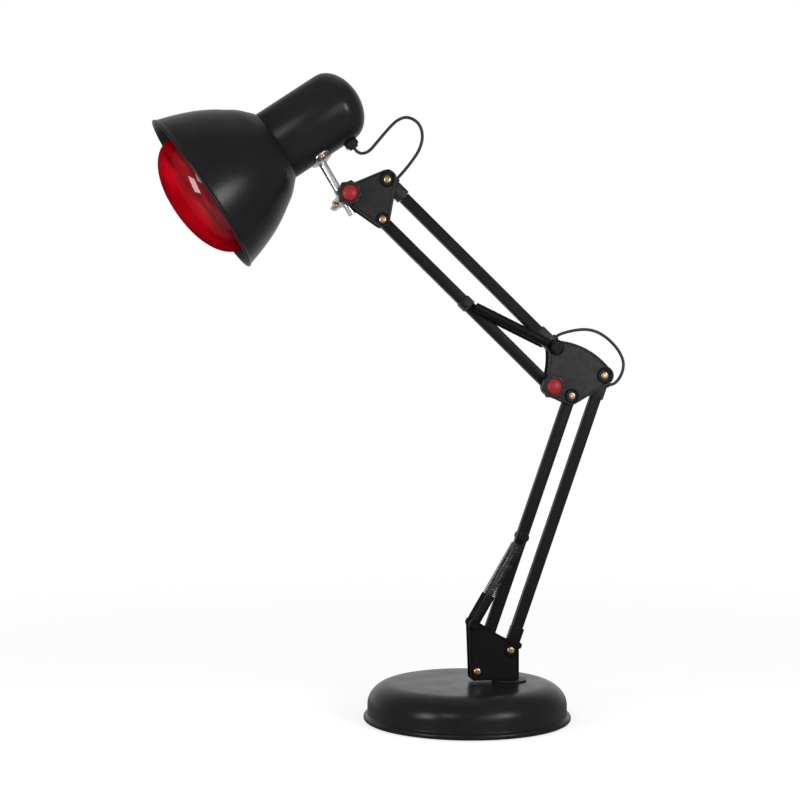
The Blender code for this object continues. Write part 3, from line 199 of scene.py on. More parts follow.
def finish_of(name, colour, rough, spread, cloud, grain, height, metal=0.0, shade=0.25, specular=0.5,
              edge_specular=None):
    """A plain finish: colour and gloss that drift over `cloud` metres, and a fine grain in the surface."""
    n = Nodes(name)
    drift = n.noise(cloud, 4.0, 0.6)
    fine = n.noise(grain, 2.0)
    tone = n.mix(n.between(drift, 0, 1), rgba(colour, 1 - shade), rgba(colour, 1 + shade))
    speck = n.mix(n.between(fine, 0, 0.35), tone, rgba(colour, 1 + 2 * shade))
    gloss = n.between(n.noise(cloud * 0.6, 3.0), rough - spread, rough + spread)
    if edge_specular is not None:
        specular = n.fade_to_edge(specular, edge_specular, 0.35, 0.85)
    return n.set(Base_Color=speck, Roughness=gloss, Metallic=metal, Normal=n.bump(fine, height),
                 Specular_IOR_Level=specular)


def brass_finish():
    n = Nodes("brass")
    turned = n.add("TexWave", [
        ("Vector", n.coords), ("Scale", 900.0), ("Distortion", 0.6), ("Detail", 1.0)],
        wave_type="RINGS", rings_direction="Z").outputs[1]
    drift = n.between(n.noise(0.003, 3.0), 0, 1)
    tone = n.mix(drift, (0.36, 0.24, 0.115, 1), (0.60, 0.44, 0.28, 1))
    gloss = n.between(n.noise(0.002, 3.0), 0.22, 0.4)
    return n.set(Base_Color=tone, Roughness=gloss, Metallic=1.0, Normal=n.bump(turned, 0.00002, 0.5))


def chrome_finish():
    n = Nodes("chrome")
    smudge = n.noise(0.006, 4.0, 0.65)
    tone = n.mix(n.between(smudge, 0, 1), (0.80, 0.81, 0.83, 1), (0.93, 0.94, 0.95, 1))
    # Darker toward the rod's edges as they turn from view: a painted reflection.
    painted_dark_edges = n.mix(n.between(n.facing(), 0, 1, 0.5, 0.9), tone, (0.10, 0.105, 0.12, 1))
    gloss = n.between(smudge, 0.2, 0.34)
    return n.set(Base_Color=painted_dark_edges, Roughness=gloss, Metallic=1.0, Normal=n.bump(n.noise(0.004), 0.000002))


def steel_finish():
    """Oil-blackened spring steel with drawn lines and bare wear."""
    n = Nodes("steel")
    wear = n.noise(0.004, 4.0, 0.7)
    tone = n.mix(n.between(wear, 0, 1, 0.45, 0.75), (0.05, 0.05, 0.053, 1), (0.26, 0.26, 0.28, 1))
    gloss = n.between(wear, 0.3, 0.45)
    return n.set(Base_Color=tone, Roughness=gloss, Metallic=1.0, Normal=n.bump(n.noise(0.002), 0.000004))


def glass_finish():
    """Ruby glass: a clear gloss, a bright face, and dark streaks that set in toward the silvered back, which
    are painted reflection and painted shade; the edges darken as painted shade, and a faint glow paints light
    through the glass.
    """
    n = Nodes("red_glass")
    face = MOUTH.dot(HEAD_AXIS)
    reach = n.add("VectorMath", [(0, n.coords), (1, HEAD_AXIS)],
                  operation="DOT_PRODUCT").outputs["Value"]
    stretched = n.add("VectorMath", [(0, HEAD_AXIS * 5), ("Scale", reach)],
                      operation="SCALE").outputs[0]
    rings = n.add("VectorMath", [(0, n.coords), (1, stretched)], operation="ADD").outputs[0]
    streaks = n.between(n.noise(0.045, 2.5, 0.6, rings), -0.55, 0.55, 0.35, 0.65)
    # The colour turns dark and streaked toward the rim over the silvered back: painted reflection of the dark
    # shade, and painted shade.
    depth = n.between(reach, -0.15, 1.1, face - 0.020, face + 0.002)
    level = n.add("Math", [(0, depth), (1, streaks)], operation="ADD", use_clamp=True).outputs[0]
    bright = n.mix(n.between(n.noise(0.035, 1.0), 0, 1), (0.24, 0.0008, 0.003, 1), (0.42, 0.002, 0.008, 1))
    tone = n.mix(level, bright, (0.07, 0.0005, 0.002, 1))
    # Darker toward the edges as they turn from view: painted shade.
    deep = n.mix(n.between(n.facing(0.4), 0, 0.75, 0.5, 1.0), tone, (0.10, 0.0006, 0.002, 1))
    gloss = n.between(n.noise(0.012, 2.0), 0.02, 0.05)
    # The emission is a painted glow that stands in for light coming through the red glass.
    return n.set(Base_Color=deep, Roughness=gloss, Normal=n.bump(n.noise(0.02, 1.0), 0.00001),
                 Specular_IOR_Level=n.fade_to_edge(0.45, 0.0, 0.16, 0.45),
                 Emission_Color=(0.05, 0.0002, 0.0008, 1), Emission_Strength=1.0)


BLACK = (0.010, 0.0098, 0.0112)
# SHADOW_BLACK is painted shade: a darker copy of the plastic's black, used by shadow_plastic where shade
# falls on black plastic parts
SHADOW_BLACK = (0.0055, 0.0052, 0.0062)
STEEL_BLACK = (0.0075, 0.0072, 0.0085)
PLASTIC_BLACK = (0.0135, 0.0131, 0.0151)
# Name, colour, roughness and its spread, size of clouds, size and height of grain, and what else it sets
PLAIN_FINISHES = (
    ("black_paint", BLACK, 0.28, 0.04, 0.05, 0.0011, 0.000012, {"specular": 0.17, "edge_specular": 0.08}),
    ("head_paint", BLACK, 0.27, 0.03, 0.05, 0.0011, 0.000012, {"specular": 0.19, "edge_specular": 0.03}),
    ("shadow_plastic", SHADOW_BLACK, 0.42, 0.06, 0.05, 0.0009, 0.00003, {"specular": 0.08}),
    ("black_steel", STEEL_BLACK, 0.42, 0.06, 0.03, 0.0008, 0.00002, {"specular": 0.08}),
    ("black_plastic", PLASTIC_BLACK, 0.45, 0.07, 0.012, 0.0006, 0.00004, {"specular": 0.2}),
    ("black_flex", (0.02, 0.02, 0.021), 0.45, 0.06, 0.01, 0.0009, 0.00002, {"specular": 0.3}),
    ("rubber", (0.014, 0.014, 0.014), 0.8, 0.08, 0.01, 0.0012, 0.00006, {"specular": 0.3}),
    ("cast_iron", (0.09, 0.09, 0.095), 0.65, 0.1, 0.02, 0.0015, 0.0002, {"metal": 0.8}),
    ("red_plastic", (0.27, 0.014, 0.018), 0.38, 0.05, 0.004, 0.0007, 0.00002,
     {"shade": 0.12, "specular": 0.25}),
    ("porcelain", (0.8, 0.78, 0.73), 0.25, 0.05, 0.02, 0.002, 0.00002, {"shade": 0.03}),
)
MATERIALS = {name: finish_of(name, *row, **extra) for name, *row, extra in PLAIN_FINISHES}
MATERIALS.update(brass=brass_finish(), chrome=chrome_finish(), steel=steel_finish(), red_glass=glass_finish())

# Shapes are pairs of points and faces, in their own frame until they become a piece
GAP = 0.0003
TOWARD_NEAR = Matrix.Rotation(pi / 2, 4, "X")
TOWARD_FAR = Matrix.Rotation(-pi / 2, 4, "X")
NEAR, FAR = -1, 1
SIDES = (("near", NEAR), ("far", FAR))
TOWARD = {NEAR: TOWARD_NEAR, FAR: TOWARD_FAR}


def lathe(profile, steps=48, closed=False):
    """A profile of (radius, height), from top to bottom on its outer side, turned about Z."""
    points, faces, rings = [], [], []
    for radius, height in profile:
        if radius < 1e-7:
            rings.append([len(points)])
            points.append(Vector((0, 0, height)))
            continue
        rings.append(range(len(points), len(points) + steps))
        for i in range(steps):
            angle = tau * i / steps
            points.append(Vector((radius * cos(angle), radius * sin(angle), height)))
    pairs = list(zip(rings, rings[1:]))
    if closed:
        pairs.append((rings[-1], rings[0]))
    for a, b in pairs:
        for i in range(steps):
            j = (i + 1) % steps
            if len(a) > 1 and len(b) > 1:
                faces.append((a[i], b[i], b[j], a[j]))
            elif len(b) > 1:
                faces.append((a[0], b[i], b[j]))
            elif len(a) > 1:
                faces.append((a[i], b[0], a[j]))
    return points, faces


def stack(rings):
    """A skin over rings of the same number of points, closed at both ends."""
    count = len(rings[0])
    points = [point for ring in rings for point in ring]
    faces = []
    for k in range(len(rings) - 1):
        for i in range(count):
            j = (i + 1) % count
            faces.append((k * count + i, k * count + j, (k + 1) * count + j, (k + 1) * count + i))
    faces.append(tuple(reversed(range(count))))
    faces.append(tuple(range((len(rings) - 1) * count, len(rings) * count)))
    return points, faces


def rounded(corners, steps=4):
    """A path through corners (x, y, fillet), each corner turned into an arc of its fillet."""
    path = []
    for i, (x, y, fillet) in enumerate(corners):
        here = Vector((x, y))
        if not fillet:
            path.append(here)
            continue
        back = (Vector(corners[i - 1][:2]) - here).normalized()
        ahead = (Vector(corners[(i + 1) % len(corners)][:2]) - here).normalized()
        half = back.angle(ahead) / 2
        centre = here + (back + ahead).normalized() * fillet / sin(half)
        u = here + back * fillet / tan(half) - centre
        v = here + ahead * fillet / tan(half) - centre
        sweep = u.angle(v)
        for k in range(steps + 1):
            t = k / steps
            path.append(centre + (u * sin((1 - t) * sweep) + v * sin(t * sweep)) / sin(sweep))
    return path


def evenly(first, last, count):
    """Numbers or places from first to last in even steps, both ends among them."""
    return [first + (last - first) * i / count for i in range(count + 1)]


def turned(corners, steps, closed=False, fillet_steps=3):
    """A turned shape whose section goes through corners (radius, height, fillet)."""
    return lathe([(p.x, p.y) for p in rounded(corners, fillet_steps)], steps, closed)


def band(discs, bulges=None, inset=0.0, arc_steps=10, bulge_steps=14):
    """The outline of a band stretched round discs (x, y, radius), with as many points at any inset."""
    bulges = bulges or [0] * len(discs)
    discs = [(x, y, max(r - inset, 0.00015)) for x, y, r in discs]
    stretches = []
    for (x, y, r), (u, v, s) in zip(discs, discs[1:] + discs[:1]):
        normal = atan2(v - y, u - x) - acos((r - s) / hypot(u - x, v - y))
        stretches.append((normal, (x + r * cos(normal), y + r * sin(normal)),
                          (u + s * cos(normal), v + s * sin(normal))))
    points = []
    for i, (x, y, r) in enumerate(discs):
        normal, start, end = stretches[i]
        first = stretches[i - 1][0]
        sweep = (normal - first) % tau
        for k in range(arc_steps + 1):
            angle = first + sweep * k / arc_steps
            points.append((x + r * cos(angle), y + r * sin(angle)))
        for k in range(1, bulge_steps):
            t = k / bulge_steps
            out = 4 * bulges[i] * t * (1 - t)
            points.append((start[0] + (end[0] - start[0]) * t + out * cos(normal),
                           start[1] + (end[1] - start[1]) * t + out * sin(normal)))
    return points


def layers(discs, bulges, steps):
    """Rings of a band outline at (inset, depth) steps: x and z lie in the arm's plane, y is the depth."""
    return [[Vector((x, depth, z)) for x, z in band(discs, bulges, inset)] for inset, depth in steps]


def plate(discs, low, high, edge, bulges=None):
    """A flat plate between two depths, in either order, with softly rounded edges."""
    way = 1 if high > low else -1
    soft = [(edge, 0), (0.3 * edge, 0.3 * edge), (0, edge)]
    steps = [(inset, low + way * run) for inset, run in soft]
    steps += [(inset, high - way * run) for inset, run in reversed(soft)]
    return stack(layers(discs, bulges, steps))


def tube(points, radius, sides=12):
    """A round tube along points, with its rings turned as little as possible from one to the next."""
    rings = []
    way = (points[1] - points[0]).normalized()
    across = way.orthogonal().normalized()
    for i, point in enumerate(points):
        after = points[min(i + 1, len(points) - 1)]
        before = points[max(i - 1, 0)]
        way = (after - before).normalized()
        across = (across - way * across.dot(way)).normalized()
        up = way.cross(across)
        rings.append([point + (across * cos(tau * k / sides) + up * sin(tau * k / sides))
                      * radius for k in range(sides)])
    return stack(rings)


def moved(shape, matrix):
    return [matrix @ point for point in shape[0]], shape[1]


def at(point, turn=Matrix.Identity(4)):
    return Matrix.Translation(point) @ turn


def along(direction):
    """A turn that takes Z to a direction in the arm's plane and keeps Y."""
    return Matrix.Rotation(atan2(direction.x, direction.z), 4, "Y")


def turn_to(x, y, z):
    """A turn that takes X, Y and Z to three directions."""
    return Matrix((x, y, z)).transposed().to_4x4()


def piece(name, shapes, slot, matrix=Matrix.Identity(4), sharp=32, finish=None, dark=()):
    """One object made of shapes, smooth but for its sharp edges, with the dark ones in a darker finish that
    paints shade.
    """
    mesh = bpy.data.meshes.new(name)
    points, faces, marks = [], [], []
    for mark, group in enumerate((shapes, dark)):
        for shape_points, shape_faces in group:
            first = len(points)
            points += shape_points
            faces += [tuple(first + i for i in face) for face in shape_faces]
            marks += [mark] * len(shape_faces)
    mesh.from_pydata(points, [], faces)
    mesh.polygons.foreach_set("material_index", marks)
    work = bmesh.new()
    work.from_mesh(mesh)
    bmesh.ops.remove_doubles(work, verts=work.verts, dist=1e-6)
    bmesh.ops.recalc_face_normals(work, faces=work.faces)
    work.to_mesh(mesh)
    work.free()
    mesh.polygons.foreach_set("use_smooth", [True] * len(mesh.polygons))
    mesh.set_sharp_from_angle(angle=radians(sharp))
    mesh.materials.append(MATERIALS[finish or slot])
    if dark:
        mesh.materials.append(MATERIALS["shadow_plastic"])
    obj = new_object(name, mesh, matrix)
    return obj


# Pieces with a finish a little apart from the rest of their slot: head_paint differs only in gloss, and
# shadow_plastic is a darker copy of the black that paints shade on the base bracket and the lower cap beside
# it
FINISH_OF = {"shade": "head_paint", "housing": "head_paint", "lower_cap_bottom": "shadow_plastic",
             "base_cheek_near": "shadow_plastic", "base_cheek_far": "shadow_plastic",
             "base_core": "shadow_plastic"}


def stand_for(node, shapes, matrix=Matrix.Identity(4), sharp=32, dark=()):
    """A piece that takes the place of a CAD node, on the same body and in the same finish."""
    obj = piece("look_" + node, shapes, SLOT_OF[node], matrix, sharp, FINISH_OF.get(node), dark)
    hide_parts(node)
    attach(obj, BODY_OF[node])


def smooth_path(points, step):
    """Evenly stepped points on a smooth curve through the given ones."""
    ends = [points[0] * 2 - points[1], *points, points[-1] * 2 - points[-2]]
    fine = []
    for a, b, c, d in zip(ends, ends[1:], ends[2:], ends[3:]):
        count = max(1, round((c - b).length / step))
        for k in range(count):
            t = k / count
            fine.append((b * 2 + (c - a) * t + (a * 2 - b * 5 + c * 4 - d) * t**2
                         + (b * 3 - a - c * 3 + d) * t**3) / 2)
    return fine + [points[-1]]


def smooth_profile(pairs, step):
    return [(max(p.x, 0.0), p.y) for p in smooth_path([Vector(pair) for pair in pairs], step)]


# The flex: two free loops, and two runs inside the rear bars
FLEX_RADIUS = 0.00155
FLEX_BEND = 0.007
FLEX_STEP = 0.0025
FLEX_SIDES = 14
MOUTH_ALONG = 0.0065
MOUTH_HEIGHT = 0.0095
INWARD_END = MOUTH_ALONG + FLEX_BEND + 0.0035
HOUSING_RADIUS = 0.0362
GLAND_STATION = 0.152
GLAND_FLANGE = 0.0036
GLAND_NOSE = 0.0046
GLAND_TOP = GAP + GLAND_FLANGE + GLAND_NOSE
SOCKET_RADIUS = 0.020


def in_arm_plane(*pairs):
    return [Vector((x, 0, z)) for x, z in pairs]


HEAD_LOOP = in_arm_plane(
    (-0.1108, 0.5653), (-0.1065, 0.5634), (-0.1015, 0.5643), (-0.0970, 0.5674), (-0.0915, 0.5737),
    (-0.0845, 0.5821), (-0.0775, 0.5902), (-0.0705, 0.5967), (-0.0626, 0.6001), (-0.0548, 0.5987),
    (-0.0486, 0.5937), (-0.0455, 0.5861), (-0.0455, 0.5771), (-0.0490, 0.5671), (-0.0556, 0.5569),
    (-0.0628, 0.5477))
ELBOW_LOOP = in_arm_plane(
    (0.0963, 0.3858), (0.1035, 0.3880), (0.1112, 0.3896), (0.1200, 0.3905), (0.1289, 0.3896),
    (0.1374, 0.3864), (0.1467, 0.3800), (0.1551, 0.3711), (0.1602, 0.3622), (0.1616, 0.3543),
    (0.1600, 0.3466), (0.1563, 0.3400), (0.1515, 0.3357))


def on_housing(station, radius, angle=0.0):
    """A place at a station of the lamp's axis, at an angle round it from straight below."""
    return (MOUTH + HEAD_AXIS * station + HEAD_DOWN * radius * cos(angle)
            + Vector((0, -radius * sin(angle), 0)))


def through_cap(pivot, inward, side):
    """The way through an end cap: down from its mouth, round a bend and along the bar."""
    way = [pivot + inward * MOUTH_ALONG + side * MOUTH_HEIGHT]
    for angle in evenly(0, pi / 2, 8):
        way.append(pivot + inward * (MOUTH_ALONG + FLEX_BEND * (1 - cos(angle)))
                   + side * FLEX_BEND * (1 - sin(angle)))
    return way + [pivot + inward * INWARD_END]


def nearest(points, place):
    return min(range(len(points)), key=lambda i: (points[i] - place).length)


def free_flex(name, node, points, *bodies, start=None, end=None):
    """A stretch of the free flex, from its first point to its last; the bodies between which it runs are not
    used.
    """
    start = points[0] if start is None else start
    end = points[-1] if end is None else end
    obj = piece(name, [tube(points, FLEX_RADIUS, FLEX_SIDES)], "black_flex")
    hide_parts(node)
    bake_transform(obj)


gland_mouth = HOUSING_RADIUS + GLAND_TOP
gland_in = [on_housing(GLAND_STATION, r) for r in (
    SOCKET_RADIUS + 2 * GAP, (SOCKET_RADIUS + gland_mouth) / 2, gland_mouth)]
head_route = smooth_path(gland_in + HEAD_LOOP + through_cap(H, -UPPER_DIR, UPPER_SIDE), FLEX_STEP)
first_cut = nearest(head_route, HEAD_LOOP[5])
second_cut = nearest(head_route, HEAD_LOOP[9])
free_flex("head_flex_lamp", "head_flex", head_route[:first_cut + 1], "lamp_head", "tilt_clamp",
          start=gland_in[-1])
free_flex("head_flex_clamp", "head_flex", head_route[first_cut:second_cut + 1], "tilt_clamp", "head_bracket")
free_flex("head_flex_arm", "head_flex", head_route[second_cut:], "head_bracket", "upper_rear",
          end=HEAD_LOOP[-1])
elbow_route = smooth_path(through_cap(F, UPPER_DIR, UPPER_SIDE)[::-1] + ELBOW_LOOP
                          + through_cap(D, -LOWER_DIR, LOWER_SIDE), FLEX_STEP)
elbow_cut = nearest(elbow_route, ELBOW_LOOP[4])
free_flex("elbow_flex_upper", "elbow_flex", elbow_route[:elbow_cut + 1], "upper_rear", "elbow",
          start=ELBOW_LOOP[0])
free_flex("elbow_flex_lower", "elbow_flex", elbow_route[elbow_cut:], "elbow", "lower_rear",
          end=ELBOW_LOOP[-1])
HIDDEN_STEP = 0.006
HIDDEN_SIDES = 10
GROMMET_TAIL = 0.0015
hidden_from = INWARD_END + GAP
upper_run = evenly(H - UPPER_DIR * hidden_from, F + UPPER_DIR * hidden_from, 20)
stand_for("upper_flex", [tube(upper_run, FLEX_RADIUS, HIDDEN_SIDES)])
lower_run = [D - LOWER_DIR * hidden_from, B + LOWER_DIR * hidden_from]
lower_run += through_cap(B, LOWER_DIR, LOWER_SIDE)[::-1][1:-1]
lower_run.append(B + LOWER_DIR * MOUTH_ALONG + LOWER_SIDE * (MOUTH_HEIGHT - GROMMET_TAIL))
stand_for("lower_flex", [tube(smooth_path(lower_run, HIDDEN_STEP), FLEX_RADIUS, HIDDEN_SIDES)])

# Base: a pressed cover with a rolled lip, its pad, and the washer under the bracket
BASE_RADIUS = 0.0995
BASE_HEIGHT = 0.0378
BASE_WALL = 0.0012
BASE_FLOOR = 0.0008
LIP_OVERHANG = 0.004
LIP_HEIGHT = 0.0055
LIP_FILLET = 0.001
LIP_FLATNESS = 0.8
SHOULDER_REACH = 0.025
SHOULDER_DROP = 0.022
PAD_THICKNESS = 0.002
PAD_SLACK = 0.0004
WASHER_RADIUS = 0.0175
WASHER_THICKNESS = 0.0012
SPINDLE_BORE = 0.0043


def shoulder(radius, top):
    return [(radius - SHOULDER_REACH + SHOULDER_REACH * sin(a),
             top - SHOULDER_DROP + SHOULDER_DROP * cos(a)) for a in evenly(0, pi / 2, 28)]


def base_shell():
    """The cover's section: a flat top, a round shoulder, a fillet and a rolled lip, then back inside."""
    inner = BASE_RADIUS - BASE_WALL
    lip_top = BASE_FLOOR + LIP_HEIGHT
    profile = [(0, BASE_HEIGHT), (0.03, BASE_HEIGHT), (0.055, BASE_HEIGHT)]
    profile += shoulder(BASE_RADIUS, BASE_HEIGHT)
    profile += [(BASE_RADIUS, lip_top + LIP_FILLET)]
    for a in evenly(0, pi / 2, 4):
        profile.append((BASE_RADIUS + LIP_FILLET * (1 - cos(a)),
                        lip_top + LIP_FILLET * (1 - sin(a))))
    roll = LIP_HEIGHT / 2
    for a in evenly(pi / 2, -pi / 2, 12):
        profile.append((BASE_RADIUS + LIP_OVERHANG + roll * LIP_FLATNESS * (cos(a) - 1),
                        BASE_FLOOR + roll + roll * sin(a)))
    profile += [(inner, BASE_FLOOR)]
    profile += shoulder(inner, BASE_HEIGHT - BASE_WALL)[::-1]
    profile.append((0, BASE_HEIGHT - BASE_WALL))
    return lathe(profile, 192)


def disc(radius, low, high, edge, steps=96, bore=0.0):
    """A round disc with softly rounded edges, bored through if asked."""
    return turned([(bore, high, 0), (radius, high, edge), (radius, low, edge), (bore, low, 0)],
                  steps, bore > 0, 4)


stand_for("base_cover", [base_shell()])
stand_for("base_pad", [disc(BASE_RADIUS - BASE_WALL - PAD_SLACK, 0, PAD_THICKNESS, 0.0005, 160)])
washer_foot = BASE_HEIGHT + GAP
stand_for("base_washer", [disc(WASHER_RADIUS, washer_foot, washer_foot + WASHER_THICKNESS, 0.0004,
                               bore=SPINDLE_BORE)], at(SWIVEL))

# Screws and pins stand along their own Z, which points to the lamp's near side
CHEEK_INNER = 0.0057
CHEEK_OUTER = 0.0079
SEAT = CHEEK_OUTER - 0.0006
CROSS_REACH = 0.48
CROSS_HALF = 0.15
CROSS_DEPTH = 0.35
HEAD_RADIUS = 0.0039
HEAD_TOP = CHEEK_OUTER + GAP + 0.0012
NUT_LOW = -CHEEK_OUTER - GAP
NUT_HEIGHT = 0.0024
SHANK_RADIUS = 0.002
BOLT_RADIUS = 0.00175
PIN_REACH = 0.0104
PIN_TOP = PIN_REACH + 0.0022


def hexagon(radius, low, high, edge=0.0003):
    """A hexagonal nut with a chamfered top and bottom."""
    rings = []
    for height, share in ((low, 0.9), (low + edge, 1), (high - edge, 1), (high, 0.9)):
        ring = []
        for i in range(24):
            a = tau * i / 24
            flat = cos(pi / 6) / cos((a % (pi / 3)) - pi / 6)
            reach = radius * share * flat
            ring.append(Vector((reach * cos(a), reach * sin(a), height)))
        rings.append(ring)
    return stack(rings)


def slotted_head(radius, foot, top, dome):
    """A domed screw head with a cross recess, made as rings whose middle dips where the cross is."""
    levels = [(1.0, foot), (1.0, top - dome), (0.97, top - 0.8 * dome), (0.88, top - 0.45 * dome),
              (0.74, top - 0.2 * dome), (0.6, top - 0.08 * dome), (0.5, top), (0.42, top), (0.3, top),
              (0.16, top)]
    rings = []
    for share, height in levels:
        ring = []
        for a in evenly(0, tau, 48)[:-1]:
            x, y = share * radius * cos(a), share * radius * sin(a)
            crossed = share < CROSS_REACH and min(abs(x), abs(y)) < CROSS_HALF * radius
            ring.append(Vector((x, y, height - (CROSS_DEPTH * (top - foot) if crossed else 0))))
        rings.append(ring)
    return stack(rings)


def cross_screw(node, point, shank=SHANK_RADIUS, radius=HEAD_RADIUS, foot=SEAT, top=HEAD_TOP, tail=NUT_LOW,
                nut=HEAD_RADIUS, turn=0.4):
    shapes = [slotted_head(radius, foot, top, 0.55 * (top - foot)),
              lathe([(shank, foot), (shank, tail - NUT_HEIGHT + 0.0002)], 24),
              hexagon(nut, tail - NUT_HEIGHT, tail)]
    stand_for(node, shapes, at(point, TOWARD_NEAR @ Matrix.Rotation(turn, 4, "Z")))


def pin_shape(head, foot):
    """A pin with a wide soft-edged head, whose top is dished."""
    corner, dish_depth = 0.0006, 0.0003
    head_path = rounded([(0, PIN_TOP, 0), (head, PIN_TOP, corner), (head, PIN_REACH, corner / 2),
                         (SHANK_RADIUS, PIN_REACH, 0), (SHANK_RADIUS, foot, 0)])
    dish = [(0, PIN_TOP - dish_depth), (head * 0.55, PIN_TOP - dish_depth), (head * 0.62, PIN_TOP)]
    return lathe(dish + [(p.x, p.y) for p in head_path[1:]], 40)


def cross_pin(node, point, head):
    """A pin through the lamp's whole depth, with a head on each side."""
    half = pin_shape(head, 0)
    stand_for(node, [half, moved(half, Matrix.Rotation(pi, 4, "X"))], at(point, TOWARD_NEAR))


# Base bracket
BRACKET_FLOOR = 0.0396
RIM = 0.0015
RIB_HALF = 0.0011
GROOVE = 0.0009
EDGE = 0.0003
GROOVE_DEPTH = 0.0012
PANEL_DEPTH = 0.0007
BOSS_RISE = 0.0008


def cheek_shape(discs, bulges, side, rim=RIM):
    """A moulded side plate: a raised rim, a shallow groove inside it and a flat panel."""
    groove, panel = CHEEK_OUTER - GROOVE_DEPTH, CHEEK_OUTER - PANEL_DEPTH
    steps = [(EDGE, CHEEK_INNER), (0, CHEEK_INNER + EDGE), (0, CHEEK_OUTER - EDGE), (EDGE, CHEEK_OUTER),
             (rim, CHEEK_OUTER), (rim + EDGE, groove), (rim + GROOVE, groove), (rim + GROOVE + EDGE, panel)]
    return stack(layers(discs, bulges, [(inset, side * depth) for inset, depth in steps]))


def boss(point, origin, side, inner, outer):
    """A raised ring on a cheek round a pivot screw, with a sloping flank."""
    low, high = CHEEK_OUTER - GROOVE_DEPTH, CHEEK_OUTER + BOSS_RISE
    ring = turned([(inner, high, 0.0003), (outer - 0.0004, high, 0.0005), (outer + 0.0005, low, 0),
                   (inner, low, 0)], 56, True)
    return moved(ring, at(point - origin, TOWARD[side]))


def cheek(node, origin, discs, bulges, side, bosses, extra=(), rim=RIM):
    # The rings round the screws go in the darker finish: painted shade round each screw.
    rings = [boss(point, origin, side, inner, outer) for point, inner, outer in bosses]
    stand_for(node, [cheek_shape(discs, bulges, side, rim), *extra], at(origin), dark=rings)


def flat(point, origin):
    return point.x - origin.x, point.z - origin.z


def base_bracket():
    toe, toe_corner = -0.0068, 0.004
    pivot, heel_corner = 0.0084, 0.0015
    ear = 0.005
    heel = B.x - A.x + pivot
    floor = BRACKET_FLOOR - A.z
    discs = [(toe + toe_corner, floor + toe_corner, toe_corner),
             (heel - heel_corner, floor + heel_corner, heel_corner), (*flat(B, A), pivot),
             (*flat(LOWER_ANCHOR, A), ear)]
    for word, side in SIDES:
        place = at(LOWER_ANCHOR - A, TOWARD[side])
        pin = moved(pin_shape(ear, CHEEK_INNER + 0.001), place)
        collar = moved(disc(0.0042, CHEEK_OUTER - 0.001, CHEEK_OUTER + 0.0004, 0.0003, 40), place)
        cheek("base_cheek_" + word, A, discs, [0, 0, -0.0014, 0], side,
              [(B, 0.0052, 0.0068)], (pin, collar), rim=0.0012)
    cross_screw("base_screw_front", A, turn=0.3)
    cross_screw("base_screw_rear", B, turn=-0.5)


base_bracket()

# Arms
BAR_HALF = 0.0055
BAR_DEPTH = 0.010
CAP_HALF = 0.0070
CAP_DEPTH = 0.0104
CAP_BACK = -0.0085
CAP_FRONT = 0.024
CAP_CORNER = 0.003
CAP_EDGE = 0.0012
CAP_PANEL = ((-0.0012, 0, 0.0054), (0.0206, 0, 0.0046))
MOUTH_BORE = 0.0021
FLUSH = BAR_HALF + 0.0002


def front_bar(node, start, end):
    way = end - start
    discs = [(0, 0, BAR_HALF), (way.x, way.z, BAR_HALF)]
    stand_for(node, [plate(discs, -BAR_DEPTH / 2, BAR_DEPTH / 2, 0.0007)], at(start))


def end_cap(node, pivot, inward, side, low=CAP_HALF):
    """A bar's moulded end: a rounded block with a panel on each face, and a round mouth for the flex."""
    turn = turn_to(inward, side.cross(inward), side)
    back, front = CAP_BACK + CAP_CORNER, CAP_FRONT - CAP_EDGE
    outer = [(back, -low + CAP_CORNER, CAP_CORNER), (front, -low + CAP_EDGE, CAP_EDGE),
             (front, CAP_HALF - CAP_EDGE, CAP_EDGE), (back, CAP_HALF - CAP_CORNER, CAP_CORNER)]
    face = CAP_DEPTH / 2
    block = plate(outer, -face, face, 0.0007)
    panels = [plate(list(CAP_PANEL), way * (face - 0.0003), way * (face + 0.00025), 0.0002)
              for way in (NEAR, FAR)]
    foot = CAP_HALF - 0.001
    mouth = turned([(MOUTH_BORE, MOUTH_HEIGHT, 0.0003), (0.0033, MOUTH_HEIGHT, 0.0006), (0.0037, foot, 0),
                    (MOUTH_BORE, foot, 0)], 40, True)
    stand_for(node, [block, *panels, moved(mouth, at(Vector((MOUTH_ALONG, 0, 0))))], at(pivot, turn))


front_bar("lower_front_bar", A, C)
front_bar("upper_front_bar", E, G)
end_cap("lower_cap_bottom", B, LOWER_DIR, LOWER_SIDE, low=FLUSH)
end_cap("lower_cap_top", D, -LOWER_DIR, LOWER_SIDE)
end_cap("upper_cap_bottom", F, UPPER_DIR, UPPER_SIDE)
end_cap("upper_cap_top", H, -UPPER_DIR, UPPER_SIDE)
GROMMET_TOP = 0.0014
GROMMET_RIM = 0.0029
GROMMET_PLUG = -0.001
grommet = turned([(0, GROMMET_TOP, 0), (0.0019, GROMMET_TOP, 0.0005), (GROMMET_RIM, 0.0008, 0.0003),
                  (GROMMET_RIM, GAP, 0), (FLEX_RADIUS, GAP, 0), (FLEX_RADIUS, GROMMET_PLUG, 0),
                  (0, GROMMET_PLUG, 0)], 32, fillet_steps=4)
stand_for("cord_grommet", [grommet],
          at(B + LOWER_DIR * MOUTH_ALONG + LOWER_SIDE * MOUTH_HEIGHT, along(LOWER_SIDE)))

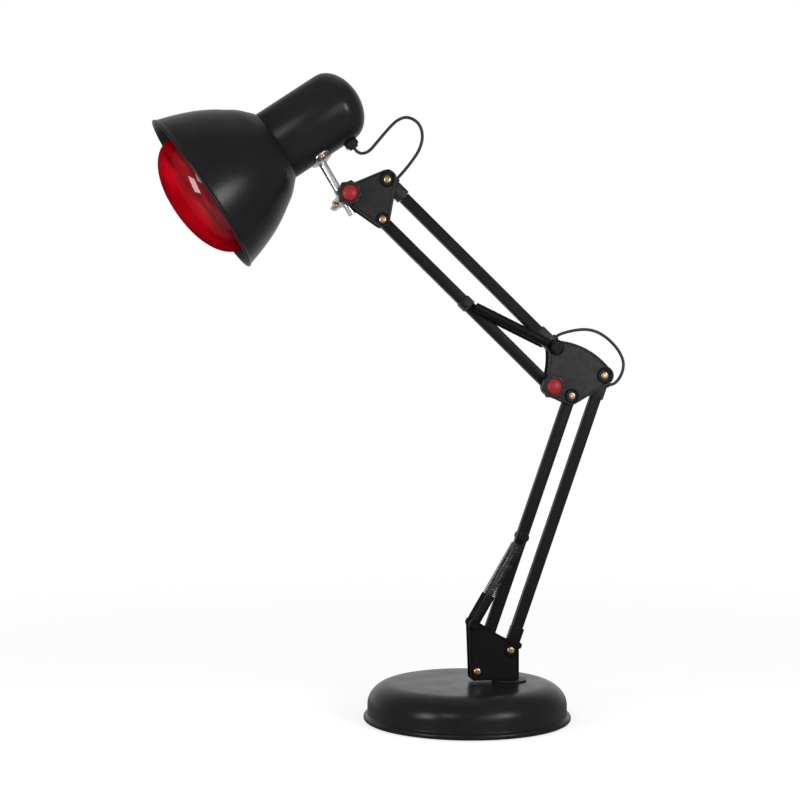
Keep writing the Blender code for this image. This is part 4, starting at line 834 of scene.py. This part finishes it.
# Springs
WIRE = 0.0005
COIL_RADIUS = 0.0036
SPRING_OFFSET = 0.0106
HOOK_OFFSET = 0.0093
COIL_START = 0.009
COIL_LENGTH = 0.0616
COIL_TURNS = 36
COIL_STEPS = 14
HOOK_SWEEP = radians(250)
LOWER_SLEEVE_RADIUS = 0.00435
SLEEVE_BORE = 0.00415
SLEEVE_LAP = 0.003
SLEEVE_FOOT = 0.0035
UPPER_SLEEVE_RADIUS = 0.0046
UPPER_SLEEVE_START = 0.0085
UPPER_SLEEVE_STOP = 0.0095
RIB_COUNT = 26
RIB_DEPTH = 0.00012


def hook(pin, forward, across, y):
    """An open ring of wire round its pin."""
    radius = SHANK_RADIUS + GAP + WIRE
    return [pin + forward * radius * cos(a) + across * radius * sin(a) + Vector((0, y, 0))
            for a in evenly(pi / 2 + HOOK_SWEEP, pi / 2, 20)]


def sleeve_shape(low, high):
    bore, radius, edge = SLEEVE_BORE, LOWER_SLEEVE_RADIUS, 0.00015
    return turned([(bore, high, 0), (radius, high, edge), (radius, low, edge), (bore, low, 0)], 40, True)


def bend_between(obj, node):
    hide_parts(node)
    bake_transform(obj)


def lower_springs():
    """Coils of wire with a hook at each end, which begin in line with the hook, and a sleeve on each."""
    top, foot = LOWER_PIN, LOWER_ANCHOR
    forward = (foot - top).normalized()
    across = Vector((-forward.z, 0, forward.x))
    length = (foot - top).length
    start = asin((SPRING_OFFSET - HOOK_OFFSET) / COIL_RADIUS)
    for word, side in SIDES:
        points = hook(top, forward, across, side * HOOK_OFFSET)
        for i in range(COIL_TURNS * COIL_STEPS + 1):
            turn = i / COIL_STEPS
            phase = start + tau * turn
            points.append(top + forward * (COIL_START + COIL_LENGTH * turn / COIL_TURNS)
                          + across * COIL_RADIUS * cos(phase)
                          + Vector((0, side * (SPRING_OFFSET - COIL_RADIUS * sin(phase)), 0)))
        points += hook(foot, -forward, across, side * HOOK_OFFSET)[::-1]
        wire = piece("look_lower_spring_" + word, [tube(points, WIRE, 6)], "steel")
        bend_between(wire, "lower_spring_" + word)
        sleeve = sleeve_shape(COIL_START + COIL_LENGTH - SLEEVE_LAP, length - SLEEVE_FOOT)
        sleeve = moved(sleeve, at(top + Vector((0, side * SPRING_OFFSET, 0)), along(forward)))
        # The sleeve goes in the darker shadow_plastic, which paints shade on it.
        cover = piece("look_lower_sleeve_" + word, [sleeve], "black_plastic", finish="shadow_plastic")
        bend_between(cover, "lower_sleeve_" + word)


def upper_springs():
    """Faintly ribbed sleeves with a wire hook at each end."""
    top, foot = UPPER_PIN, F
    forward = (foot - top).normalized()
    across = Vector((-forward.z, 0, forward.x))
    low, high = UPPER_SLEEVE_START, (foot - top).length - UPPER_SLEEVE_STOP
    face, edge = 0.7 * UPPER_SLEEVE_RADIUS, 0.0006
    path = [(0, low), (face, low)]
    for i, run in enumerate(evenly(low + edge, high - edge, RIB_COUNT)):
        path.append((UPPER_SLEEVE_RADIUS - (RIB_DEPTH if i % 2 else 0), run))
    path += [(face, high), (0, high)]
    for word, side in SIDES:
        aside = Vector((0, side * SPRING_OFFSET, 0))
        sleeve = moved(lathe(path[::-1], 36), at(top + aside, along(forward)))
        wires = []
        for pin, way, run in ((top, forward, UPPER_SLEEVE_START), (foot, -forward, UPPER_SLEEVE_STOP)):
            ends = hook(pin, way, across, side * HOOK_OFFSET)
            wires.append(tube(ends + [pin + way * (run + 0.001) + aside], WIRE, 8))
        # The sleeves go in the darker shadow_plastic, which paints shade on them.
        obj = piece("look_upper_spring_" + word, [sleeve, *wires], "black_plastic", finish="shadow_plastic")
        bend_between(obj, "upper_spring_" + word)


def collar():
    """A moulded collar round the upper front bar, with a pin on each side."""
    half, run, deep, corner = 0.0065, 0.0056, 0.0068, 0.002
    x, z = half - corner, run - corner
    discs = [(-x, -z, corner), (x, -z, corner), (x, z, corner), (-x, z, corner)]
    shapes = [plate(discs, -deep, deep, 0.0008)]
    for _, side in SIDES:
        shapes.append(moved(pin_shape(0.0042, 0.006), TOWARD[side]))
        shapes.append(moved(disc(0.0035, 0.0064, 0.0078, 0.0003, 40), TOWARD[side]))
    stand_for("upper_spring_pin", shapes, at(UPPER_PIN, along(UPPER_DIR)))


lower_springs()
upper_springs()
collar()
cross_pin("lower_spring_pin", LOWER_PIN, 0.005)
cross_pin("elbow_pin", F, 0.006)

# Elbow and head brackets
KNOB_RADIUS = 0.0110
KNOB_POINT = 0.0016
KNOB_LOBES = 8
KNOB_THICKNESS = 0.011
KNOB_CAP_RADIUS = 0.0077
KNOB_CAP_RISE = 0.0028
KNOB_CAP_SINK = 0.0008


def elbow_bracket():
    discs = [(*flat(E, C), 0.0085), (*flat(C, C), 0.009), (*flat(D, C), 0.0095), (*flat(F, C), 0.008)]
    bulges = [0, 0, 0.0055, -0.0025]
    for word, side in SIDES:
        cheek("elbow_cheek_" + word, C, discs, bulges, side, [(D, 0.0056, 0.0078), (C, 0.0054, 0.0070),
                                                              (F, 0.0068, 0.0078)])
    cross_screw("elbow_screw_front", C, turn=0.9)
    cross_screw("elbow_screw_rear", D, turn=0.1)


def head_bracket():
    discs = [(*flat(G, G), 0.0075), (*flat(H, G), 0.0098), (*flat(K, G), 0.0085)]
    rear = Vector(flat(H, G))
    rib_foot, rib_top = (0.0057, -0.001), rear + Vector((0.0079, 0.004))
    peak = rear + Vector((0.0012, 0.0098))
    for word, side in SIDES:
        rib = plate([(*rib_foot, RIB_HALF), (*rib_top, RIB_HALF)], side * (CHEEK_OUTER - 0.001),
                    side * (CHEEK_OUTER + 0.0001), EDGE)
        corner = plate([(peak.x - 0.004, peak.y - 0.004, 0.0012), (peak.x + 0.0028, peak.y - 0.0035, 0.0012),
                        (*peak, 0.0005)], side * CHEEK_INNER, side * CHEEK_OUTER, EDGE)
        cheek("head_cheek_" + word, G, discs, None, side, [(H, 0.0056, 0.0076), (G, 0.0052, 0.0066)],
              (rib, corner))
    cross_screw("head_screw_front", G, turn=-0.2)
    cross_screw("head_screw_rear", H, turn=0.7)


def star(scale, height, roundness=0.0):
    """A ring with eight pointed lobes, drawn towards a circle by its roundness."""
    ring = []
    for a in evenly(0, tau, 96)[:-1]:
        lobe = (1 - abs(sin(KNOB_LOBES / 2 * a)))**0.8 * KNOB_POINT * (1 - roundness)
        radius = (KNOB_RADIUS + lobe) * scale
        ring.append(Vector((radius * cos(a), radius * sin(a), height)))
    return ring


def knob(prefix, point, turn):
    foot = CHEEK_OUTER + GAP
    face = foot + KNOB_THICKNESS
    rings = [star(0.74, foot, 1), star(0.78, foot + 0.0006, 1), star(0.8, foot + 0.0016, 1),
             star(0.95, foot + 0.0022, 0.3), star(1.0, foot + 0.003), star(1.0, face - 0.001),
             star(0.97, face - 0.0003), star(0.93, face, 0.2), star(0.76, face, 1),
             star(0.74, face - 0.0003, 1), star(0.735, face - 0.001, 1)]
    stand_for(prefix + "_knob", [stack(rings)], at(point, TOWARD_NEAR @ Matrix.Rotation(turn, 4, "Z")))
    seat = face + GAP
    dome = [(0, seat + KNOB_CAP_RISE)]
    for a in evenly(0, pi / 2, 24)[1:]:
        share = sin(a)
        dome.append((KNOB_CAP_RADIUS * share, seat + KNOB_CAP_RISE * max(1 - share**2.5, 0)**0.8))
    dome += [(KNOB_CAP_RADIUS, seat - KNOB_CAP_SINK), (0, seat - KNOB_CAP_SINK)]
    stand_for(prefix + "_knob_cap", [lathe(dome, 64)], at(point, TOWARD_NEAR))


elbow_bracket()
head_bracket()
knob("elbow", E, 0.18)
knob("head", K, -0.12)

# Tilt clamp and rod
CLAMP_INNER = 0.003
CLAMP_OUTER = 0.0052
CLAMP_HEAD = 0.0034
TROUGH_HALF = 0.0092
TROUGH_RADIUS = 0.0047
TROUGH_SWELL = 1.22
ROD_RADIUS = 0.0041
ROD_TOP = 0.0408
ROD_TAIL = -0.019
ROD_EDGE = 0.0006


def clamp():
    """Two plates that squeeze the rod, each with a trough pressed out round it."""
    discs = [(*flat(CLAMP_SCREW, K), 0.0046), (0, 0, 0.007)]
    for word, side in SIDES:
        run = [Vector((0, 0, z)) for z in evenly(TROUGH_HALF, -TROUGH_HALF, 8)]
        trough = moved(tube(run, TROUGH_RADIUS, 32), at(ROD_FOOT - K, along(ROD_UP)))
        halved = ([Vector((p.x, p.y * TROUGH_SWELL if p.y * side > 0 else 0, p.z)) for p in trough[0]],
                  trough[1])
        squeezer = plate(discs, side * CLAMP_INNER, side * CLAMP_OUTER, 0.0004)
        stand_for("clamp_plate_" + word, [squeezer, halved], at(K))
    cross_screw("clamp_screw", CLAMP_SCREW, BOLT_RADIUS, CLAMP_HEAD, CLAMP_OUTER, CLAMP_OUTER + GAP + 0.0016,
                -CLAMP_OUTER - GAP, CLAMP_HEAD, 0.5)


clamp()
stand_for("tilt_rod", [disc(ROD_RADIUS, ROD_TAIL, ROD_TOP, ROD_EDGE, 64)], at(ROD_FOOT, along(ROD_UP)))

# Lamp head
SHADE_WALL = 0.0012
SHADE_MOUTH = 0.0832
SHADE_FRONT = 0.0012
SHADE_NECK = 0.0375
NECK_BORE = 0.029
SHADE_DEPTH = 0.0864
SHADE_SHARES = ((1, 0), (0.95, 0.095), (0.86, 0.255), (0.74, 0.405), (0.6, 0.57), (0.435, 0.725),
                (0.215, 0.88), (0, 1))
SHADE_LIP = 0.001
HOUSING_FOOT = 0.0867
HOUSING_STRAIGHT = 0.0713
HOUSING_DROP = 0.0006
DOME_LENGTH = 0.0258
BULB_RADIUS = 0.0636
BULB_FRONT = 0.0296
BULB_NECK = 0.1075
BULB_WIDEST = 0.006
BULB_ROUNDNESS = 2 / 2.15
BULB_BACK = ((0.26, 1), (0.3, 0.89), (0.41, 0.76), (0.56, 0.61), (0.785, 0.4), (0.92, 0.26), (0.985, 0.14),
             (1, BULB_WIDEST / BULB_NECK))
BULB_DROOP = radians(-1.5)
SADDLE_STATION = 0.1185
SADDLE_REACH = radians(31)
SADDLE_SCREW = radians(23)
HEAD_TURN = along(HEAD_AXIS)


def shade():
    """A bell of sheet metal with a rolled lip at its mouth and a neck that the housing covers."""
    spread = SHADE_MOUTH - SHADE_NECK
    length = SHADE_DEPTH - SHADE_FRONT
    outer = smooth_profile([(SHADE_NECK + spread * r, SHADE_FRONT + length * s) for s, r in SHADE_SHARES],
                           0.002)
    lip = [(SHADE_MOUTH + SHADE_LIP * sin(a), SHADE_FRONT - 0.0002 + 0.0013 * cos(a))
           for a in evenly(0, pi, 8)]
    inner = [(max(r - SHADE_WALL, NECK_BORE), s) for r, s in outer[::-1]]
    neck = [(NECK_BORE, SHADE_DEPTH), (SHADE_NECK - 0.001, SHADE_DEPTH)]
    profile = neck + outer[:-1] + lip + inner[:-1] + [(NECK_BORE, SHADE_DEPTH - SHADE_WALL)]
    stand_for("shade", [moved(lathe(profile, 192, closed=True), at(MOUTH, HEAD_TURN))])


def housing():
    """A tube with a domed end, over the lampholder."""
    foot = HOUSING_FOOT + HOUSING_STRAIGHT
    outer = [(HOUSING_RADIUS * sin(a), foot + DOME_LENGTH * cos(a))
             for a in evenly(0, pi / 2, 32)]
    outer += [(HOUSING_RADIUS, HOUSING_FOOT + 0.0008), (HOUSING_RADIUS - 0.0004, HOUSING_FOOT)]
    inner = [((HOUSING_RADIUS - SHADE_WALL) * cos(a), foot + (DOME_LENGTH - SHADE_WALL) * sin(a))
             for a in evenly(0, pi / 2, 24)]
    profile = outer + [(HOUSING_RADIUS - SHADE_WALL, HOUSING_FOOT)] + inner
    stand_for("housing", [moved(lathe(profile, 128), at(MOUTH + HEAD_DOWN * HOUSING_DROP, HEAD_TURN))])


def off_housing(outward):
    """A turn that takes Z away from the housing and Y along the lamp's axis."""
    return turn_to(HEAD_AXIS.cross(outward), HEAD_AXIS, outward)


def saddle():
    """A chromed strap over the housing's underside, with rounded ears that stand off it toward the rod."""
    half, run, corner = SADDLE_REACH * HOUSING_RADIUS, 0.0098, 0.0082
    outline = rounded([(-half, -run, corner), (half, -run, corner), (half, run, corner),
                       (-half, run, corner)], 8)
    outer, inner, rise = 0.0377, 0.0365, 0.003

    def standing(angle):
        return outer + rise * cos(pi / 2 * min(abs(angle) / SADDLE_REACH, 1))

    def ring(share, swell):
        points = []
        for p in outline:
            angle = p.x * share / HOUSING_RADIUS
            radius = inner + (standing(angle) - inner) * swell
            points.append(Vector((radius * sin(angle), -radius * cos(angle), p.y * share)))
        return points

    shares = (0.05, 0.3, 0.5, 0.7, 0.85, 0.95, 0.985)
    rings = [ring(k, 0) for k in shares] + [ring(1, 0.3), ring(1, 0.7)] + [ring(k, 1) for k in shares[::-1]]
    strap_turn = turn_to(Vector((0, 1, 0)), -HEAD_DOWN, HEAD_AXIS)
    stand_for("shade_saddle", [stack(rings)], at(MOUTH + HEAD_AXIS * SADDLE_STATION, strap_turn))
    for word, side in SIDES:
        angle = -side * SADDLE_SCREW
        tilt = angle * 1.5
        outward = HEAD_DOWN * cos(tilt) + Vector((0, -sin(tilt), 0))
        shapes = [slotted_head(0.0033, -0.0004, GAP + 0.0018, 0.0014),
                  lathe([(0.0015, 0), (0.0015, -0.004)], 20)]
        stand_for("saddle_screw_" + word, shapes,
                  at(on_housing(SADDLE_STATION, standing(angle), angle), off_housing(outward)))


def gland():
    """A wide ridged nut against the housing, and a short nose that the flex leaves."""
    bore, stem, nut, ridge = 0.002, 0.0035, 0.0068, 0.0071
    nut_top, stem_foot = GAP + 0.0058, -0.003
    shapes = [turned([(bore, GLAND_TOP, 0.0003), (0.0044, GLAND_TOP, 0.001), (0.0052, nut_top, 0.0004),
                      (nut, nut_top, 0.0009), (nut, GAP, 0.0003), (stem, GAP, 0), (stem, stem_foot, 0),
                      (bore, stem_foot, 0)], 48, True)]
    for i in range(3):
        z = GAP + 0.0013 + 0.0014 * i
        shapes.append(lathe([(0.0064, z + 0.0005), (ridge, z + 0.0002), (ridge, z - 0.0002),
                             (0.0064, z - 0.0005)], 40, closed=True))
    stand_for("cord_gland", shapes, at(on_housing(GLAND_STATION, HOUSING_RADIUS), off_housing(HEAD_DOWN)))


def bulb():
    """The blown envelope: a slender neck, its widest ring and a domed face."""
    rows = [(BULB_RADIUS * r, BULB_NECK * s) for r, s in BULB_BACK]
    outer = smooth_profile(rows, 0.002)
    for a in evenly(0, pi / 2, 40)[1:]:
        outer.append((BULB_RADIUS * max(cos(a), 0)**BULB_ROUNDNESS,
                      BULB_WIDEST - (BULB_FRONT + BULB_WIDEST) * sin(a)**BULB_ROUNDNESS))
    heel = MOUTH + HEAD_AXIS * BULB_NECK
    droop = at(heel) @ Matrix.Rotation(BULB_DROOP, 4, "Y") @ at(-heel)
    stand_for("bulb", [moved(lathe(outer, 160), droop @ at(MOUTH, HEAD_TURN))], sharp=60)


shade()
housing()
saddle()
gland()
bulb()

# CAD nodes that keep their shape, with softened edges
for node, obj in frame["nodes"].items():
    obj.data.materials.clear()
    obj.data.materials.append(MATERIALS[FINISH_OF.get(node, SLOT_OF[node])])
    if obj.hide_render:
        continue
    weld = obj.modifiers.new("weld", "WELD")
    weld.merge_threshold = 1e-5
    soften = obj.modifiers.new("soften", "BEVEL")
    soften.width = 0.0004
    soften.segments = 2
    soften.limit_method = "ANGLE"
    soften.angle_limit = radians(40)


# Floor, lights and world
def adder(tree):
    """Empties a tree and gives back a short way to add nodes to it."""
    tree.nodes.clear()

    def add(kind, inputs=(), **settings):
        return add_node(tree, kind, inputs, **settings)

    return add


def grey(level):
    return (level, level, level, 1)


def straight_ray(add):
    """1 for rays that come from the camera, or through something clear, and 0 for the rest."""
    path = add("LightPath").outputs
    return add("Math", [(0, path["Is Camera Ray"]), (1, path["Is Transmission Ray"])],
               operation="MAXIMUM").outputs[0]


FLOOR_RINGS = (0, 0.15, 0.3, 0.6, 1.0, 1.6)
FADE_FROM = 0.25
FADE_TO = 1.3


def floor():
    """A white floor that fades out with distance from the lamp and keeps the lamp's shadow."""
    mesh = bpy.data.meshes.new("floor")
    points, faces = lathe([(radius, 0) for radius in FLOOR_RINGS], 96)
    mesh.from_pydata(points, [], faces)
    obj = new_object("floor", mesh)
    material = bpy.data.materials.new("floor_white")
    material.use_nodes = True
    add = adder(material.node_tree)
    coords = add("TexCoord").outputs["Object"]
    length = add("VectorMath", [(0, coords)], operation="LENGTH").outputs["Value"]
    fade = add("MapRange", [(0, length), (1, FADE_FROM), (2, FADE_TO), (3, 0.0), (4, 1.0)],
               interpolation_type="SMOOTHSTEP")
    plain = add("BsdfDiffuse", [("Color", grey(0.5))])
    glow = add("Emission", [("Color", WHITE), ("Strength", 0.72)])
    shadow = add("BsdfDiffuse", [("Color", grey(0.42))])
    seen = add("AddShader", [(0, glow.outputs[0]), (1, shadow.outputs[0])])
    straight = straight_ray(add)
    chosen = add("MixShader", [(0, straight), (1, plain.outputs[0]), (2, seen.outputs[0])])
    clear = add("BsdfTransparent")
    faded = add("MixShader", [(0, fade.outputs[0]), (1, chosen.outputs[0]), (2, clear.outputs[0])])
    add("OutputMaterial", [(0, faded.outputs[0])])
    mesh.materials.append(material)


def area_light(name, place, aim, size, power):
    """A flat oblong light, turned to the place that it aims at and unseen by the camera."""
    data = bpy.data.lights.new(name, "AREA")
    data.shape = "RECTANGLE"
    data.size, data.size_y = size
    data.energy = power
    turn = (Vector(aim) - Vector(place)).to_track_quat("-Z", "Y").to_matrix().to_4x4()
    new_object(name, data, at(Vector(place), turn)).visible_camera = False


def world():
    """White where the camera and mirrored rays look past the lamp, dimmer on the camera's side."""
    sky = bpy.data.worlds.new("studio")
    bpy.context.scene.world = sky
    sky.use_nodes = True
    add = adder(sky.node_tree)
    coords = add("TexCoord").outputs["Generated"]
    away = add("SeparateXYZ", [(0, coords)]).outputs[1]
    behind = add("MapRange", [(0, away), (1, 0.35), (2, 0.98), (3, 0.28), (4, 1.0)],
                 interpolation_type="SMOOTHSTEP").outputs[0]
    glossy = add("LightPath").outputs["Is Glossy Ray"]
    mirrored = add("Mix", [(0, glossy), (2, 0.42), (3, behind)]).outputs[0]
    strength = add("Mix", [(0, straight_ray(add)), (2, mirrored), (3, 1.0)]).outputs[0]
    background = add("Background", [("Color", WHITE), ("Strength", strength)])
    add("OutputWorld", [(0, background.outputs[0])])


floor()
area_light("window_left", (-0.947, -0.618, 0.377), (-0.27, -0.06, 0.52), (0.3, 0.46), 4.6)
area_light("softbox_left", (-0.75, -1.2, 0.8), (0, 0, 0.3), (0.4, 0.4), 2.5)
area_light("softbox_right", (0.72, -1.08, 0.58), (0.0, 0, 0.3), (0.34, 0.4), 6.5)
area_light("softbox_top", (-0.05, 0.3, 1.5), (0, 0, 0.3), (0.8, 0.8), 0.7)
area_light("fill_front", (0.42, -1.45, 0.55), (0, 0, 0.35), (0.6, 0.5), 2.5)
world()
bpy.context.scene.view_settings.view_transform = "Standard"

bpy.context.view_layer.update()
